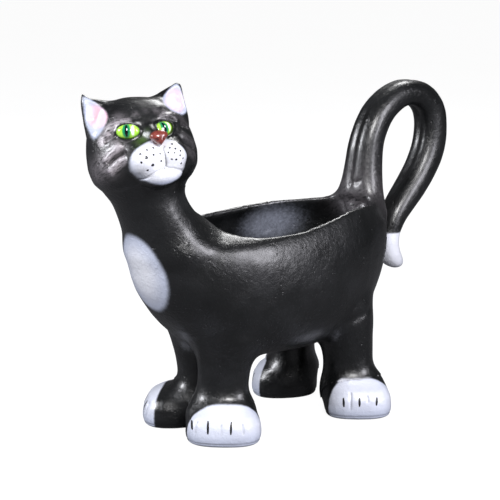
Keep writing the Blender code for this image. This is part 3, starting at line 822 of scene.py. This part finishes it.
def make_claws(word, tree, material):
    """Slim lens-shaped slots of black enamel laid into the toes."""
    space = paw_space(word)
    ahead = (space.to_3x3() @ Vector((0.0, 1.0, 0.0))).normalized()
    vertices = []
    faces = []
    rows, columns = 13, 7
    for number, (across, low, high) in enumerate(CLAWS[word]):
        lean = PAWS[word][0] * CLAW_LEAN * (number - 1)
        base = len(vertices)
        for row in range(rows):
            share = row / (rows - 1)
            half = CLAW_HALF_WIDTH * math.sin(math.pi * (0.06 + 0.88 * share)) ** 0.6
            for column in range(columns):
                span = 2.0 * column / (columns - 1) - 1.0
                start, _, height = paw_front(word, across, low + (high - low) * share)
                aim = Vector((start * MM + half * span + lean * share, -0.060, height * MM))
                hit, normal, _, _ = tree.ray_cast(space @ aim, ahead)
                rim = max(abs(span), abs(2.0 * share - 1.0)) >= 0.999
                lift = -0.0005 if rim else 0.00016 * (1.0 - span * span)
                vertices.append(tuple(hit + normal * lift))
        for corner in range(base, len(vertices) - columns):
            if (corner - base) % columns < columns - 1:
                faces.append((corner, corner + 1, corner + columns + 1, corner + columns))
    settle(make_object("claw_slots_" + word, vertices, faces, material), "black_glaze")


def make_paw(word, material, mark):
    paw, leg = "paw_" + word, "leg_" + word
    low, high = box_around((paw,), 0.004)
    high[2] += 0.006
    lattice = Lattice(low, high, PAW_STEP)
    field, fields = fuse(lattice, ((paw, 0.0), (leg, PAW_FILLET)), BODY_REACH)
    field = soften(field, PAW_BLUR)
    points, quads, normals, labels = sculpted_skin(lattice, field, fields, {leg: SEAM_OVERLAP}, 3, 0.5)
    tree = surface_tree(points, quads)
    strokes = toe_strokes(word)
    points = press(points, normals, strokes, paw_space(word), tree)
    local = in_space(paw_space(word), points)
    sideways = 1.0 - smooth_step(0.2, 0.6, np.abs(normals[:, 2]))
    ring = 0.0005 * bell(local[:, 2] - SOLE_LINE_HEIGHT, 0.0008) * sideways
    points = points - normals * ring[:, None]
    normals = mesh_normals(points, quads)
    white = toe_mask(word, points)
    sole_line = bell(points[:, 2] - SOLE_LINE_HEIGHT, 0.0006) * sideways * white
    lines = line_mask(points, strokes, paw_space(word), tree, 0.0006)
    # painted shade: the white toes grey towards the floor; they also grey towards their back
    under = 1.0 - smooth_step(0.003, 0.016, points[:, 2])
    behind = 1.0 - smooth_step(0.014, 0.021, -local[:, 1] / PAWS[word][2])
    masks = {
        "white": white,
        "shade": np.clip(PAW_SHADE + 0.40 * behind + 0.40 * under, 0.0, 1.0),
        "line": 0.55 * np.maximum(lines, sole_line),
    }
    make_pieces(fields, (paw,), points, quads, labels, normals, masks, material)
    make_claws(word, surface_tree(points, quads), mark)


# ---- head skin
HEAD_NODES = ("head", "nose_bridge", "ear_left", "ear_right", "whisker_pad_left",
              "whisker_pad_right", "chin")
HEAD_FILLETS = {"neck": 0.009, "nose_bridge": 0.006, "ear_left": 0.006, "ear_right": 0.006,
                "whisker_pad_left": 0.0062, "whisker_pad_right": 0.0062, "chin": 0.0055}
HEAD_REACH = 0.010
CAVITY_HALF_SIZE = (0.0370, 0.0305, 0.0310)      # fills the hollow of the head, which nothing shows
CROWN_CENTRE = (-0.0060, 0.0020, 0.0340)         # where the top of the head swells
CROWN_RAISE = 0.0028
CROWN_SPREAD = 0.0170
LID_RAISE = 0.0009
LID_WIDTH = 0.0013

# How far each seam is moved: off the neck, and down the head below the hollows of the ears.
SEAM_BIAS = {"neck": SEAM_OVERLAP, "ear_left": -0.0035, "ear_right": -0.0035}

OUTLINE_ROUNDING = 0.0014
# Outline of the white muzzle in head space: across and up, in millimetres.
MUZZLE_OUTLINE = [(-1.5, 0.6), (-8.0, -1.2), (-16.7, -4.7), (-21.2, -10.6), (-21.0, -18.7), (-14.2, -26.0),
                  (-8.5, -30.6), (-1.3, -32.8), (5.6, -32.4), (15.2, -28.2), (21.8, -21.5), (19.8, -13.5),
                  (15.0, -6.4), (10.2, -1.8), (4.0, 0.6)]
# Outlines of the pale cups and places of their pink hearts in head space: across and up, in millimetres.
EAR_CUPS = {
    "right": [(-36.6, 42.5), (-27.1, 35.4), (-22.8, 28.0), (-26.2, 18.0), (-31.8, 11.4), (-35.8, 7.5),
              (-38.6, 20.0)],
    "left": [(35.0, 40.5), (22.5, 33.0), (16.8, 24.8), (21.0, 18.0), (31.7, 15.0), (39.0, 18.5),
             (39.0, 28.0)],
}
EAR_HEARTS = {"right": (-29.0, 25.5), "left": (31.0, 27.5)}
CUP_DEPTH = 0.0020
# Peaks that sharpen the ears, in head space.
EAR_PEAKS = {"right": (-0.0358, -0.0066, 0.0424), "left": (0.0352, -0.0062, 0.0378)}
PEAK_RADIUS = 0.0036
PEAK_TAPER = 0.0027
PEAK_FILLET = 0.004
PEAK_BASES = {"right": (-0.0322, -0.0045, 0.0300), "left": (0.0322, -0.0045, 0.0300)}

# Lines of the face in head space and in millimetres; the cat's right side has negative x.
PHILTRUM = Stroke([(3.4, -41.5, -6), (2.8, -42.2, -13), (3, -40.5, -18), (2, -39.6, -21.3)],
                  0.75, -0.7, 0.05)
MOUTH_RIGHT = Stroke([(2, -39.6, -21.3), (-3.5, -39.5, -22.6), (-8, -37.5, -24), (-13, -32, -25.6),
                      (-16, -27, -26.2)], 0.85, -0.9, 0.1)
MOUTH_LEFT = Stroke([(2, -39.6, -21.3), (6, -39.6, -22.4), (9.8, -38.5, -23.4), (15, -34, -24.4),
                     (20, -27, -25.2)], 0.85, -0.9, 0.1)
MUZZLE_LINES = (PHILTRUM, MOUTH_RIGHT, MOUTH_LEFT)

TEMPLE_RIDGE = [(-31.5, -18.5, 9.5), (-29, -21, 13.5), (-24.5, -24.5, 15.8), (-17.5, -28, 16.8),
                (-11, -30, 15.5)]
EYE_CORNER_CREASE = [(-24.5, -27, 8.6), (-28, -23.8, 7.6), (-32.2, -19.3, 5.2)]
EYE_CORNER_RIDGE = [(-25, -25.5, 11.2), (-28.5, -22.5, 9.8), (-32.5, -18, 7), (-35, -15, 3.5)]
UPPER_CHEEK_RIDGE = [(-22, -30, 3), (-25.5, -27.5, -0.8), (-31.5, -21.5, -5.5), (-35.5, -17, -9)]
CHEEK_CREASE = [(-20.5, -31.5, -4.2), (-26, -27.2, -5.8), (-31, -23.2, -8.8), (-33.5, -20.5, -11.8)]
LOWER_CHEEK_RIDGE = [(-22, -33, -8), (-25.5, -28, -10.5), (-30.5, -23.5, -14), (-34, -18.5, -17.5)]
CHEEK_LINES = (
    (TEMPLE_RIDGE, 2.4, 1.2),
    (EYE_CORNER_CREASE, 1.4, -1.8),
    (UPPER_CHEEK_RIDGE, 2.8, 1.4),
    (CHEEK_CREASE, 1.6, -2.2),
    (LOWER_CHEEK_RIDGE, 2.8, 1.3),
)
BROW_STROKES = (
    # over the cat's left eye: a raised brow and the crease under it
    Stroke([(7, -31.2, 14.2), (11, -30, 15.8), (18, -27.5, 15.2), (23.5, -25.5, 11)], 1.3, 1.1),
    Stroke([(8, -31.8, 12.4), (11.5, -31, 13.8), (17.5, -29.3, 13.4), (22.8, -27.2, 9.6)], 0.8, -0.8),
    # over the cat's right eye
    Stroke([(-25, -26.5, 14), (-17, -29.5, 16.5), (-9, -31.5, 15.5), (-6.2, -32.5, 13)], 1.6, 0.6),
    Stroke([(-23.8, -27, 12), (-16.5, -30, 14.2), (-9.5, -31.5, 13.4), (-7.5, -32.2, 11.8)], 0.8, -0.6),
)
DRY_RIDGES = ((TEMPLE_RIDGE, 0.9), (UPPER_CHEEK_RIDGE, 1.0), (LOWER_CHEEK_RIDGE, 1.0),
              (EYE_CORNER_RIDGE, 0.9))
MIRRORED_DRY = 0.1             # the cat's left cheek is nearly all black
# Dry-brushed patches: place in head space and radius in millimetres, and strength.
DRY_PATCHES = (
    ((-25.5, -26.5, 0), 6, 0.60),
    ((-33.5, -18, -10), 9, 0.50),
    ((-38.5, -8, -14), 10, 0.28),
    ((-20, -25, 19.5), 5.5, 0.28),
    ((-7.5, -30, 21.5), 2.8, 0.42),
    ((1, -30, 23.5), 2.8, 0.36),
    ((9, -29, 21.5), 3, 0.32),
    ((14, -28.5, 16.5), 4, 0.50),
)
GREEN_TINTS = (
    ((-8.5, -35.5, 1.5), 3.6, 0.70),
    ((-4.5, -36, 7.5), 2.6, 0.25),
)

DOT_RUN = 0.25                   # millimetres that the glaze of a dot ran in the kiln
DOT_HEIGHT = 0.00025
DOT_RINGS = ((1.0, -0.00025), (0.96, 0.00006), (0.62, 0.00019), (0.25, 0.00024))   # share of radius, lift
DOT_SPOKES = 14
# Whisker dots in head space: across, up and radius in millimetres.
WHISKER_DOTS = {
    "right": ((-3.9, -6.3, 0.55), (-9.6, -7.1, 0.5), (-14.9, -9.1, 0.45), (-5.8, -11.4, 0.6),
        (-0.1, -11.3, 0.4), (-11.5, -12.4, 0.85), (-15.4, -15, 0.6), (-0.4, -16.3, 0.55),
        (-7.6, -18.2, 0.95), (-11.4, -20.9, 0.6)),
    "left": ((9.6, -6.1, 0.55), (7, -8.6, 0.42), (10.6, -10, 0.55), (14, -12, 0.5), (5.3, -11.6, 0.4),
        (9.3, -12.7, 0.4), (13, -15, 0.5), (6.7, -16.6, 0.5), (9.8, -17.4, 0.55), (15.3, -17.3, 0.45),
        (13.7, -20.5, 0.55)),
}


def outline_gap(outline, local):
    """Distance outside a convex outline in the face's plane, less than 0 inside it."""
    corners = np.array(outline) * MM
    x, z = local[:, 0], local[:, 2]
    total = np.zeros(len(local))
    for start, end in zip(corners, np.roll(corners, -1, axis=0)):
        away = np.array([end[1] - start[1], start[0] - end[0]])
        away = away / np.linalg.norm(away)
        if away @ (corners.mean(axis=0) - start) > 0.0:
            away = -away
        gap = (x - start[0]) * away[0] + (z - start[1]) * away[1]
        total += np.exp(np.clip(gap, -0.05, 0.05) / OUTLINE_ROUNDING)
    return OUTLINE_ROUNDING * np.log(total)


def head_local(points, normals):
    """Places and directions in head space."""
    space = head_space()
    return in_space(space, points), normals @ np.array(space.inverted())[:3, :3].T


def ear_gap(word, local, local_normals):
    """How far a point is outside the pale cup of an ear."""
    turned_away = smooth_step(-0.10, -0.45, -local_normals[:, 1]) * 0.010
    behind = smooth_step(0.004, 0.008, local[:, 1]) * 0.010
    return outline_gap(EAR_CUPS[word], local) + turned_away + behind


def hollow_ears(points, normals, quads):
    """Presses the two cups in, deepest in the middle, and smooths them as a thumb would."""
    local, local_normals = head_local(points, normals)
    thumbed = relax(points, quads, 30, 0.6)
    for word in EAR_CUPS:
        gap = ear_gap(word, local, local_normals)
        soft = smooth_step(0.0032, 0.0006, gap)[:, None]
        points = points * (1.0 - soft) + thumbed * soft
        points = points - normals * (CUP_DEPTH * smooth_step(0.0, 0.0065, -gap))[:, None]
    return points


def ear_masks(local, local_normals):
    """White, shade and pink inside the two cupped ears."""
    white = np.zeros(len(local))
    shade = np.zeros(len(local))
    pink = np.zeros(len(local))
    for word, (across, up) in EAR_HEARTS.items():
        gap = ear_gap(word, local, local_normals)
        cup = smooth_step(0.0018, -0.0016, gap)
        white = np.maximum(white, cup)
        shade = np.maximum(shade, smooth_step(-0.0060, -0.0004, gap) * (cup > 0.01))
        heart = np.hypot((local[:, 0] - across * MM) / 0.0068, (local[:, 2] - up * MM) / 0.0088)
        pink = np.maximum(pink, (1.0 - smooth_step(0.35, 1.25, heart)) * (cup > 0.01))
    return white, shade, pink


def head_strokes():
    strokes = list(MUZZLE_LINES) + list(BROW_STROKES)
    for points, radius, height in CHEEK_LINES:
        strokes.append(Stroke(points, radius, height))
        strokes.append(Stroke(mirrored(points), radius, 0.7 * height))
    return strokes


def carve_eyes(lattice, field):
    """Raises lids round two almond openings and cuts the openings through."""
    for word in EYES:
        x, y, z = to_local(eye_space(word), lattice.coordinates())
        gap = lid_distance(x, z)
        in_front = smooth_step(0.006, 0.002, y).astype(np.float32)
        lid = (LID_RAISE * bell(gap - 0.0007, LID_WIDTH) * in_front).astype(np.float32)
        upper = 1.0 + 0.5 * smooth_step(-0.001, 0.003, z)
        field = field - lid * upper
        opening = np.maximum(gap, y - 0.0006).astype(np.float32)
        field = carve(field, opening, 0.0007)
    return field


def peak_distance(base, peak, coordinates):
    """Distance to a slim cone, rounded at its end."""
    along = np.array(peak) - np.array(base)
    length = np.linalg.norm(along)
    along = along / length
    offsets = [value - start for value, start in zip(coordinates, base)]
    share = np.clip(sum(offset * part for offset, part in zip(offsets, along)) / length, 0.0, 1.0)
    from_axis = np.sqrt(sum((offset - part * share * length) ** 2 for offset, part in zip(offsets, along)))
    return (from_axis - (PEAK_RADIUS - PEAK_TAPER * share)).astype(np.float32)


def head_field(lattice):
    fields = {name: lattice.distance(name, HEAD_REACH) for name in HEAD_NODES + ("neck",)}
    place = to_local(head_space(), lattice.coordinates())
    filling = np.maximum(ellipsoid(place, (0.0, 0.0, 0.0), CAVITY_HALF_SIZE), -HEAD_REACH)
    total = soften(np.minimum(fields["head"], filling), HEAD_BLUR)
    for name in ("neck", "nose_bridge", "ear_left", "ear_right"):
        total = melt(total, soften(fields[name], JOINED_BLUR), HEAD_FILLETS[name])
    from_crown = np.sqrt(sum((value - middle) ** 2 for value, middle in zip(place, CROWN_CENTRE)))
    total = total - (CROWN_RAISE * bell(from_crown, CROWN_SPREAD)).astype(np.float32)
    for word, peak in EAR_PEAKS.items():
        total = melt(total, peak_distance(PEAK_BASES[word], peak, place), PEAK_FILLET)
    for name in ("chin", "whisker_pad_left", "whisker_pad_right"):
        total = melt(total, soften(fields[name], MUZZLE_BLUR), HEAD_FILLETS[name])
    return carve_eyes(lattice, total), fields


def head_masks(points, normals, tree):
    local, local_normals = head_local(points, normals)

    def lines(curves, half_width):
        """Mask of some lines of the face; its strokes are only painted, not pressed in."""
        strokes = [Stroke(curve, 3.0, 0.0) for curve in curves]
        return line_mask(points, strokes, head_space(), tree, half_width)

    gap = outline_gap(MUZZLE_OUTLINE, local)
    white_muzzle = smooth_step(0.0020, -0.0008, gap) * smooth_step(-0.014, -0.020, local[:, 1])
    # painted shade: the muzzle's white greys towards its bottom; it also greys along its outline
    low_muzzle = smooth_step(-0.0270, -0.0335, local[:, 2])
    muzzle_shade = 0.06 + 0.75 * low_muzzle + 0.5 * smooth_step(-0.0028, 0.0020, gap)
    white, shade, pink = ear_masks(local, local_normals)
    shade = np.where(white_muzzle > 0.01, np.clip(muzzle_shade, 0.0, 1.0), shade)
    dry = np.maximum(0.6 * lines([BROW_STROKES[0].points], 0.0013), spots(DRY_PATCHES, local))
    for ridge, strength in DRY_RIDGES:
        dry = np.maximum(dry, strength * lines([ridge], 0.0034))
        dry = np.maximum(dry, strength * MIRRORED_DRY * lines([mirrored(ridge)], 0.0034))
    for crease in (EYE_CORNER_CREASE, CHEEK_CREASE):
        dry = dry * (1.0 - 0.95 * lines([crease], 0.0014))
    bare = np.ones(len(points))
    for word in EYES:
        x, y, z = in_space(eye_space(word), points).T
        around = (1.0 - smooth_step(0.0012, 0.0026, lid_distance(x, z))) * smooth_step(0.006, 0.002, y)
        bare = np.minimum(bare, 1.0 - around)
    return {
        "white": np.maximum(white, white_muzzle),
        "shade": shade,
        "pink": pink * (white_muzzle < 0.01),
        "line": line_mask(points, MUZZLE_LINES, head_space(), tree, 0.0007),
        "green": spots(GREEN_TINTS, local) * bare,
        "dry": dry * bare,
    }


def make_head(material):
    low, high = box_around(HEAD_NODES, 0.005)
    low[2] -= 0.004
    lattice = Lattice(low, high, HEAD_STEP)
    field, fields = head_field(lattice)
    points, quads, normals, labels = sculpted_skin(lattice, field, fields, SEAM_BIAS, 2, 0.4, 0.7)
    tree = surface_tree(points, quads)
    points = press(points, normals, head_strokes(), head_space(), tree)
    points = hollow_ears(points, normals, quads)
    normals = mesh_normals(points, quads)
    masks = head_masks(points, normals, tree)
    make_pieces(fields, HEAD_NODES, points, quads, labels, normals, masks, material)
    return surface_tree(points, quads)


def make_whisker_dots(word, tree, material):
    """Small domes of enamel on a whisker pad, each a little uneven."""
    space = head_space()
    ahead = (space.to_3x3() @ Vector((0.0, 1.0, 0.0))).normalized()
    vertices = []
    faces = []
    for number, (across, up, painted_radius) in enumerate(WHISKER_DOTS[word]):
        radius = (DOT_RUN + painted_radius) * MM
        centre, normal, _, _ = tree.ray_cast(space @ Vector((across * MM, -0.070, up * MM)), ahead)
        side = normal.cross(Vector((0.0, 0.0, 1.0))).normalized()
        rise = side.cross(normal).normalized()
        base = len(vertices)
        for reach, lift in DOT_RINGS:
            for spoke in range(DOT_SPOKES):
                angle = 2.0 * math.pi * spoke / DOT_SPOKES
                uneven = 0.10 * math.sin(2.0 * angle + number) + 0.06 * math.sin(3.0 * angle + 2.0 * number)
                out = side * math.cos(angle) + rise * math.sin(angle)
                vertices.append(tuple(centre + out * (radius * reach * (1.0 + uneven)) + normal * lift))
        vertices.append(tuple(centre + normal * DOT_HEIGHT))
        faces += ring_faces(base, len(DOT_RINGS), DOT_SPOKES)
        faces.append(tuple(base + spoke for spoke in reversed(range(DOT_SPOKES))))
    settle(make_object("whisker_dots_" + word, vertices, faces, material), "black_glaze")


def make_eye(word, material):
    """A glossy ball, fuller in the middle, whose own space carries the painted iris."""
    rings, columns = 47, 72
    across, deep, up = (BALL_SHARE * size for size in EYE_HALF_SIZE)
    vertices = []
    for ring in range(1, rings + 1):
        tilt = math.pi * ring / (rings + 1)
        for column in range(columns):
            angle = 2.0 * math.pi * column / columns
            vertices.append((across * math.sin(tilt) * math.cos(angle),
                             BALL_SET_BACK - deep * math.cos(tilt),
                             up * math.sin(tilt) * math.sin(angle)))
    vertices.append((0.0, BALL_SET_BACK + deep, 0.0))
    vertices.append((0.0, BALL_SET_BACK - deep, 0.0))
    front = len(vertices) - 1
    faces = ring_faces(0, rings, columns)
    faces += [(front, (column + 1) % columns, column) for column in range(columns)]
    eye = make_object("eyeball_" + word, vertices, faces, material)
    eye.matrix_world = eye_space(word)
    settle(eye, "eye_glaze", "eye_" + word)


def make_nose(material):
    """A rounded triangle of clay with two pricked nostrils."""
    half = NOSE_HALF_SIZE
    middle = np.array(head_space() @ Vector(NOSE_CENTRE))
    lattice = Lattice(middle - 0.010, middle + 0.010, 0.00032)
    place = to_local(head_space(), lattice.coordinates())
    x, y, z = (value - centre for value, centre in zip(place, NOSE_CENTRE))
    breadth = half[0] * (0.34 + 0.72 * smooth_step(-0.0056, 0.0024, z))
    distance = ((np.abs(x) / breadth) ** 2.3 + (np.abs(y) / half[1]) ** 2.2
                + (np.abs(z) / half[2]) ** 2.3) ** (1 / 2.3)
    field = ((distance - 1.0) * half[2]).astype(np.float32)
    for side in (1, -1):
        dent = (side * 0.0030, -0.0042, -0.0016 + side * 0.0002)
        field = carve(field, ellipsoid((x, y, z), dent, NOSTRIL_HALF_SIZE), 0.0008)
    points, quads = lattice.skin(soften(field, NOSE_BLUR))
    local = in_space(head_space(), points) - np.array(NOSE_CENTRE)
    holes = spots([((side * 3.0, -4.0, -1.6), 1.2, 1.0) for side in (1, -1)], local)
    piece = make_piece("nose_clay", points, quads, mesh_normals(points, quads), {"line": holes}, material)
    settle(piece, "nose_glaze", "nose")


# ---- studio
CAMERA_AZIMUTH, CAMERA_ELEVATION = 49.0, 12.5      # degrees; azimuth 0 looks at the chest
CAMERA_DISTANCE = 1.4
CAMERA_TARGET = (0.0003, -0.0249, 0.1300)
METRES_PER_PICTURE = 0.385                   # width of view at the target
AIM_LEFT = 0.0058                            # how far the view is aimed beside and above the target
AIM_UP = 0.0046
WORLD_LIGHT = 0.07
LIGHT_TARGET = (0.0, -0.02, 0.14)
# Soft boxes: name, azimuth, elevation, distance, size, watts and colour.
LIGHTS = (
    ("flank", 106.0, 20.0, 1.3, (0.36, 0.74), 15.0, (0.94, 0.93, 1.0)),
    ("front", 62.0, 34.0, 1.2, (0.34, 0.30), 14.0, (1.0, 0.99, 1.0)),
    ("left", -24.0, 24.0, 1.5, (0.32, 0.45), 23.0, (0.94, 0.95, 1.0)),
    ("rear", 215.0, 45.0, 1.6, (0.45, 0.35), 9.0, (1.0, 1.0, 1.0)),
)


def bearing(azimuth, elevation):
    """Unit vector from the figurine towards a camera or a light."""
    turn, lift = math.radians(azimuth), math.radians(elevation)
    return Vector((math.sin(turn) * math.cos(lift), -math.cos(turn) * math.cos(lift), math.sin(lift)))


def place_looking(name, data, back, location):
    thing = bpy.data.objects.new(name, data)
    thing.location = location
    thing.rotation_euler = back.to_track_quat("Z", "Y").to_euler()
    bpy.context.scene.collection.objects.link(thing)
    return thing


def make_camera():
    back = bearing(CAMERA_AZIMUTH, CAMERA_ELEVATION)
    right = Vector((0.0, 0.0, 1.0)).cross(back).normalized()
    up = back.cross(right).normalized()
    data = bpy.data.cameras.new("camera")
    data.sensor_width = 36.0
    data.lens = data.sensor_width * CAMERA_DISTANCE / METRES_PER_PICTURE
    data.clip_start = 0.05
    data.clip_end = 200.0
    location = Vector(CAMERA_TARGET) - right * AIM_LEFT + up * AIM_UP + back * CAMERA_DISTANCE
    bpy.context.scene.camera = place_looking("camera", data, back, location)


def make_world():
    """Dim all round, and white where the camera sees it."""
    world = bpy.data.worlds.new("studio")
    world.use_nodes = True
    nodes, links = world.node_tree.nodes, world.node_tree.links
    dim, backdrop = nodes["Background"], nodes.new("ShaderNodeBackground")
    either = nodes.new("ShaderNodeMixShader")
    dim.inputs["Color"].default_value = (0.95, 0.955, 1.0, 1.0)
    dim.inputs["Strength"].default_value = WORLD_LIGHT
    backdrop.inputs["Color"].default_value = (1.0, 1.0, 1.0, 1.0)
    backdrop.inputs["Strength"].default_value = 0.985
    links.new(nodes.new("ShaderNodeLightPath").outputs["Is Camera Ray"], either.inputs[0])
    links.new(dim.outputs[0], either.inputs[1])
    links.new(backdrop.outputs[0], either.inputs[2])
    links.new(either.outputs[0], nodes["World Output"].inputs[0])
    bpy.context.scene.world = world
    bpy.context.scene.view_settings.view_transform = "Standard"


def make_floor():
    bpy.ops.mesh.primitive_circle_add(vertices=96, radius=12.0, fill_type="NGON")
    floor = bpy.context.object
    floor.name = "floor"
    graph = Graph("pale_floor")
    cloudy = graph.noise(graph.place(), 6.0, 3.0)
    colour = graph.mix(graph.ramp(cloudy, 0.3, 0.7), (0.10, 0.10, 0.105, 1.0), (0.12, 0.12, 0.125, 1.0))
    seen = graph.add("ShaderNodeLightPath").outputs["Is Camera Ray"]
    glow = graph.math("MULTIPLY", seen, 0.955)
    floor.data.materials.append(graph.finish(0.0, 0.03, 0.1, Base_Color=colour, Roughness=0.85,
                                             Emission_Color=(1.0, 1.0, 1.0, 1.0), Emission_Strength=glow))


def make_studio():
    make_camera()
    make_world()
    for name, azimuth, elevation, distance, size, power, colour in LIGHTS:
        data = bpy.data.lights.new(name, "AREA")
        data.shape = "RECTANGLE"
        data.size, data.size_y = size
        data.energy = power
        data.color = colour
        back = bearing(azimuth, elevation)
        place_looking(name, data, back, Vector(LIGHT_TARGET) + back * distance)
    make_floor()


# ---- assembly
SLOTS = dict.fromkeys(BODY_NODES + HEAD_NODES, "black_glaze")
SLOTS.update(dict.fromkeys(["paw_" + word for word in PAWS], "white_glaze"))
SLOTS.update(dict.fromkeys(("tail_tip", "whisker_pad_left", "whisker_pad_right", "chin"), "white_glaze"))
SLOTS.update(dict.fromkeys(("ear_left", "ear_right"), "ear_slip"))


def main():
    shared = {slot: glaze(slot) for slot in ("black_glaze", "white_glaze", "ear_slip")}
    material = {name: shared[slot] for name, slot in SLOTS.items()}
    mark = mark_glaze("mark_glaze")
    make_studio()
    make_body(material)
    for word in PAWS:
        make_paw(word, material, mark)
    tree = make_head(material)
    for word in WHISKER_DOTS:
        make_whisker_dots(word, tree, mark)
    eye = eye_glaze("eye_glaze")
    for word in EYES:
        make_eye(word, eye)
    make_nose(nose_glaze("nose_glaze"))


main()
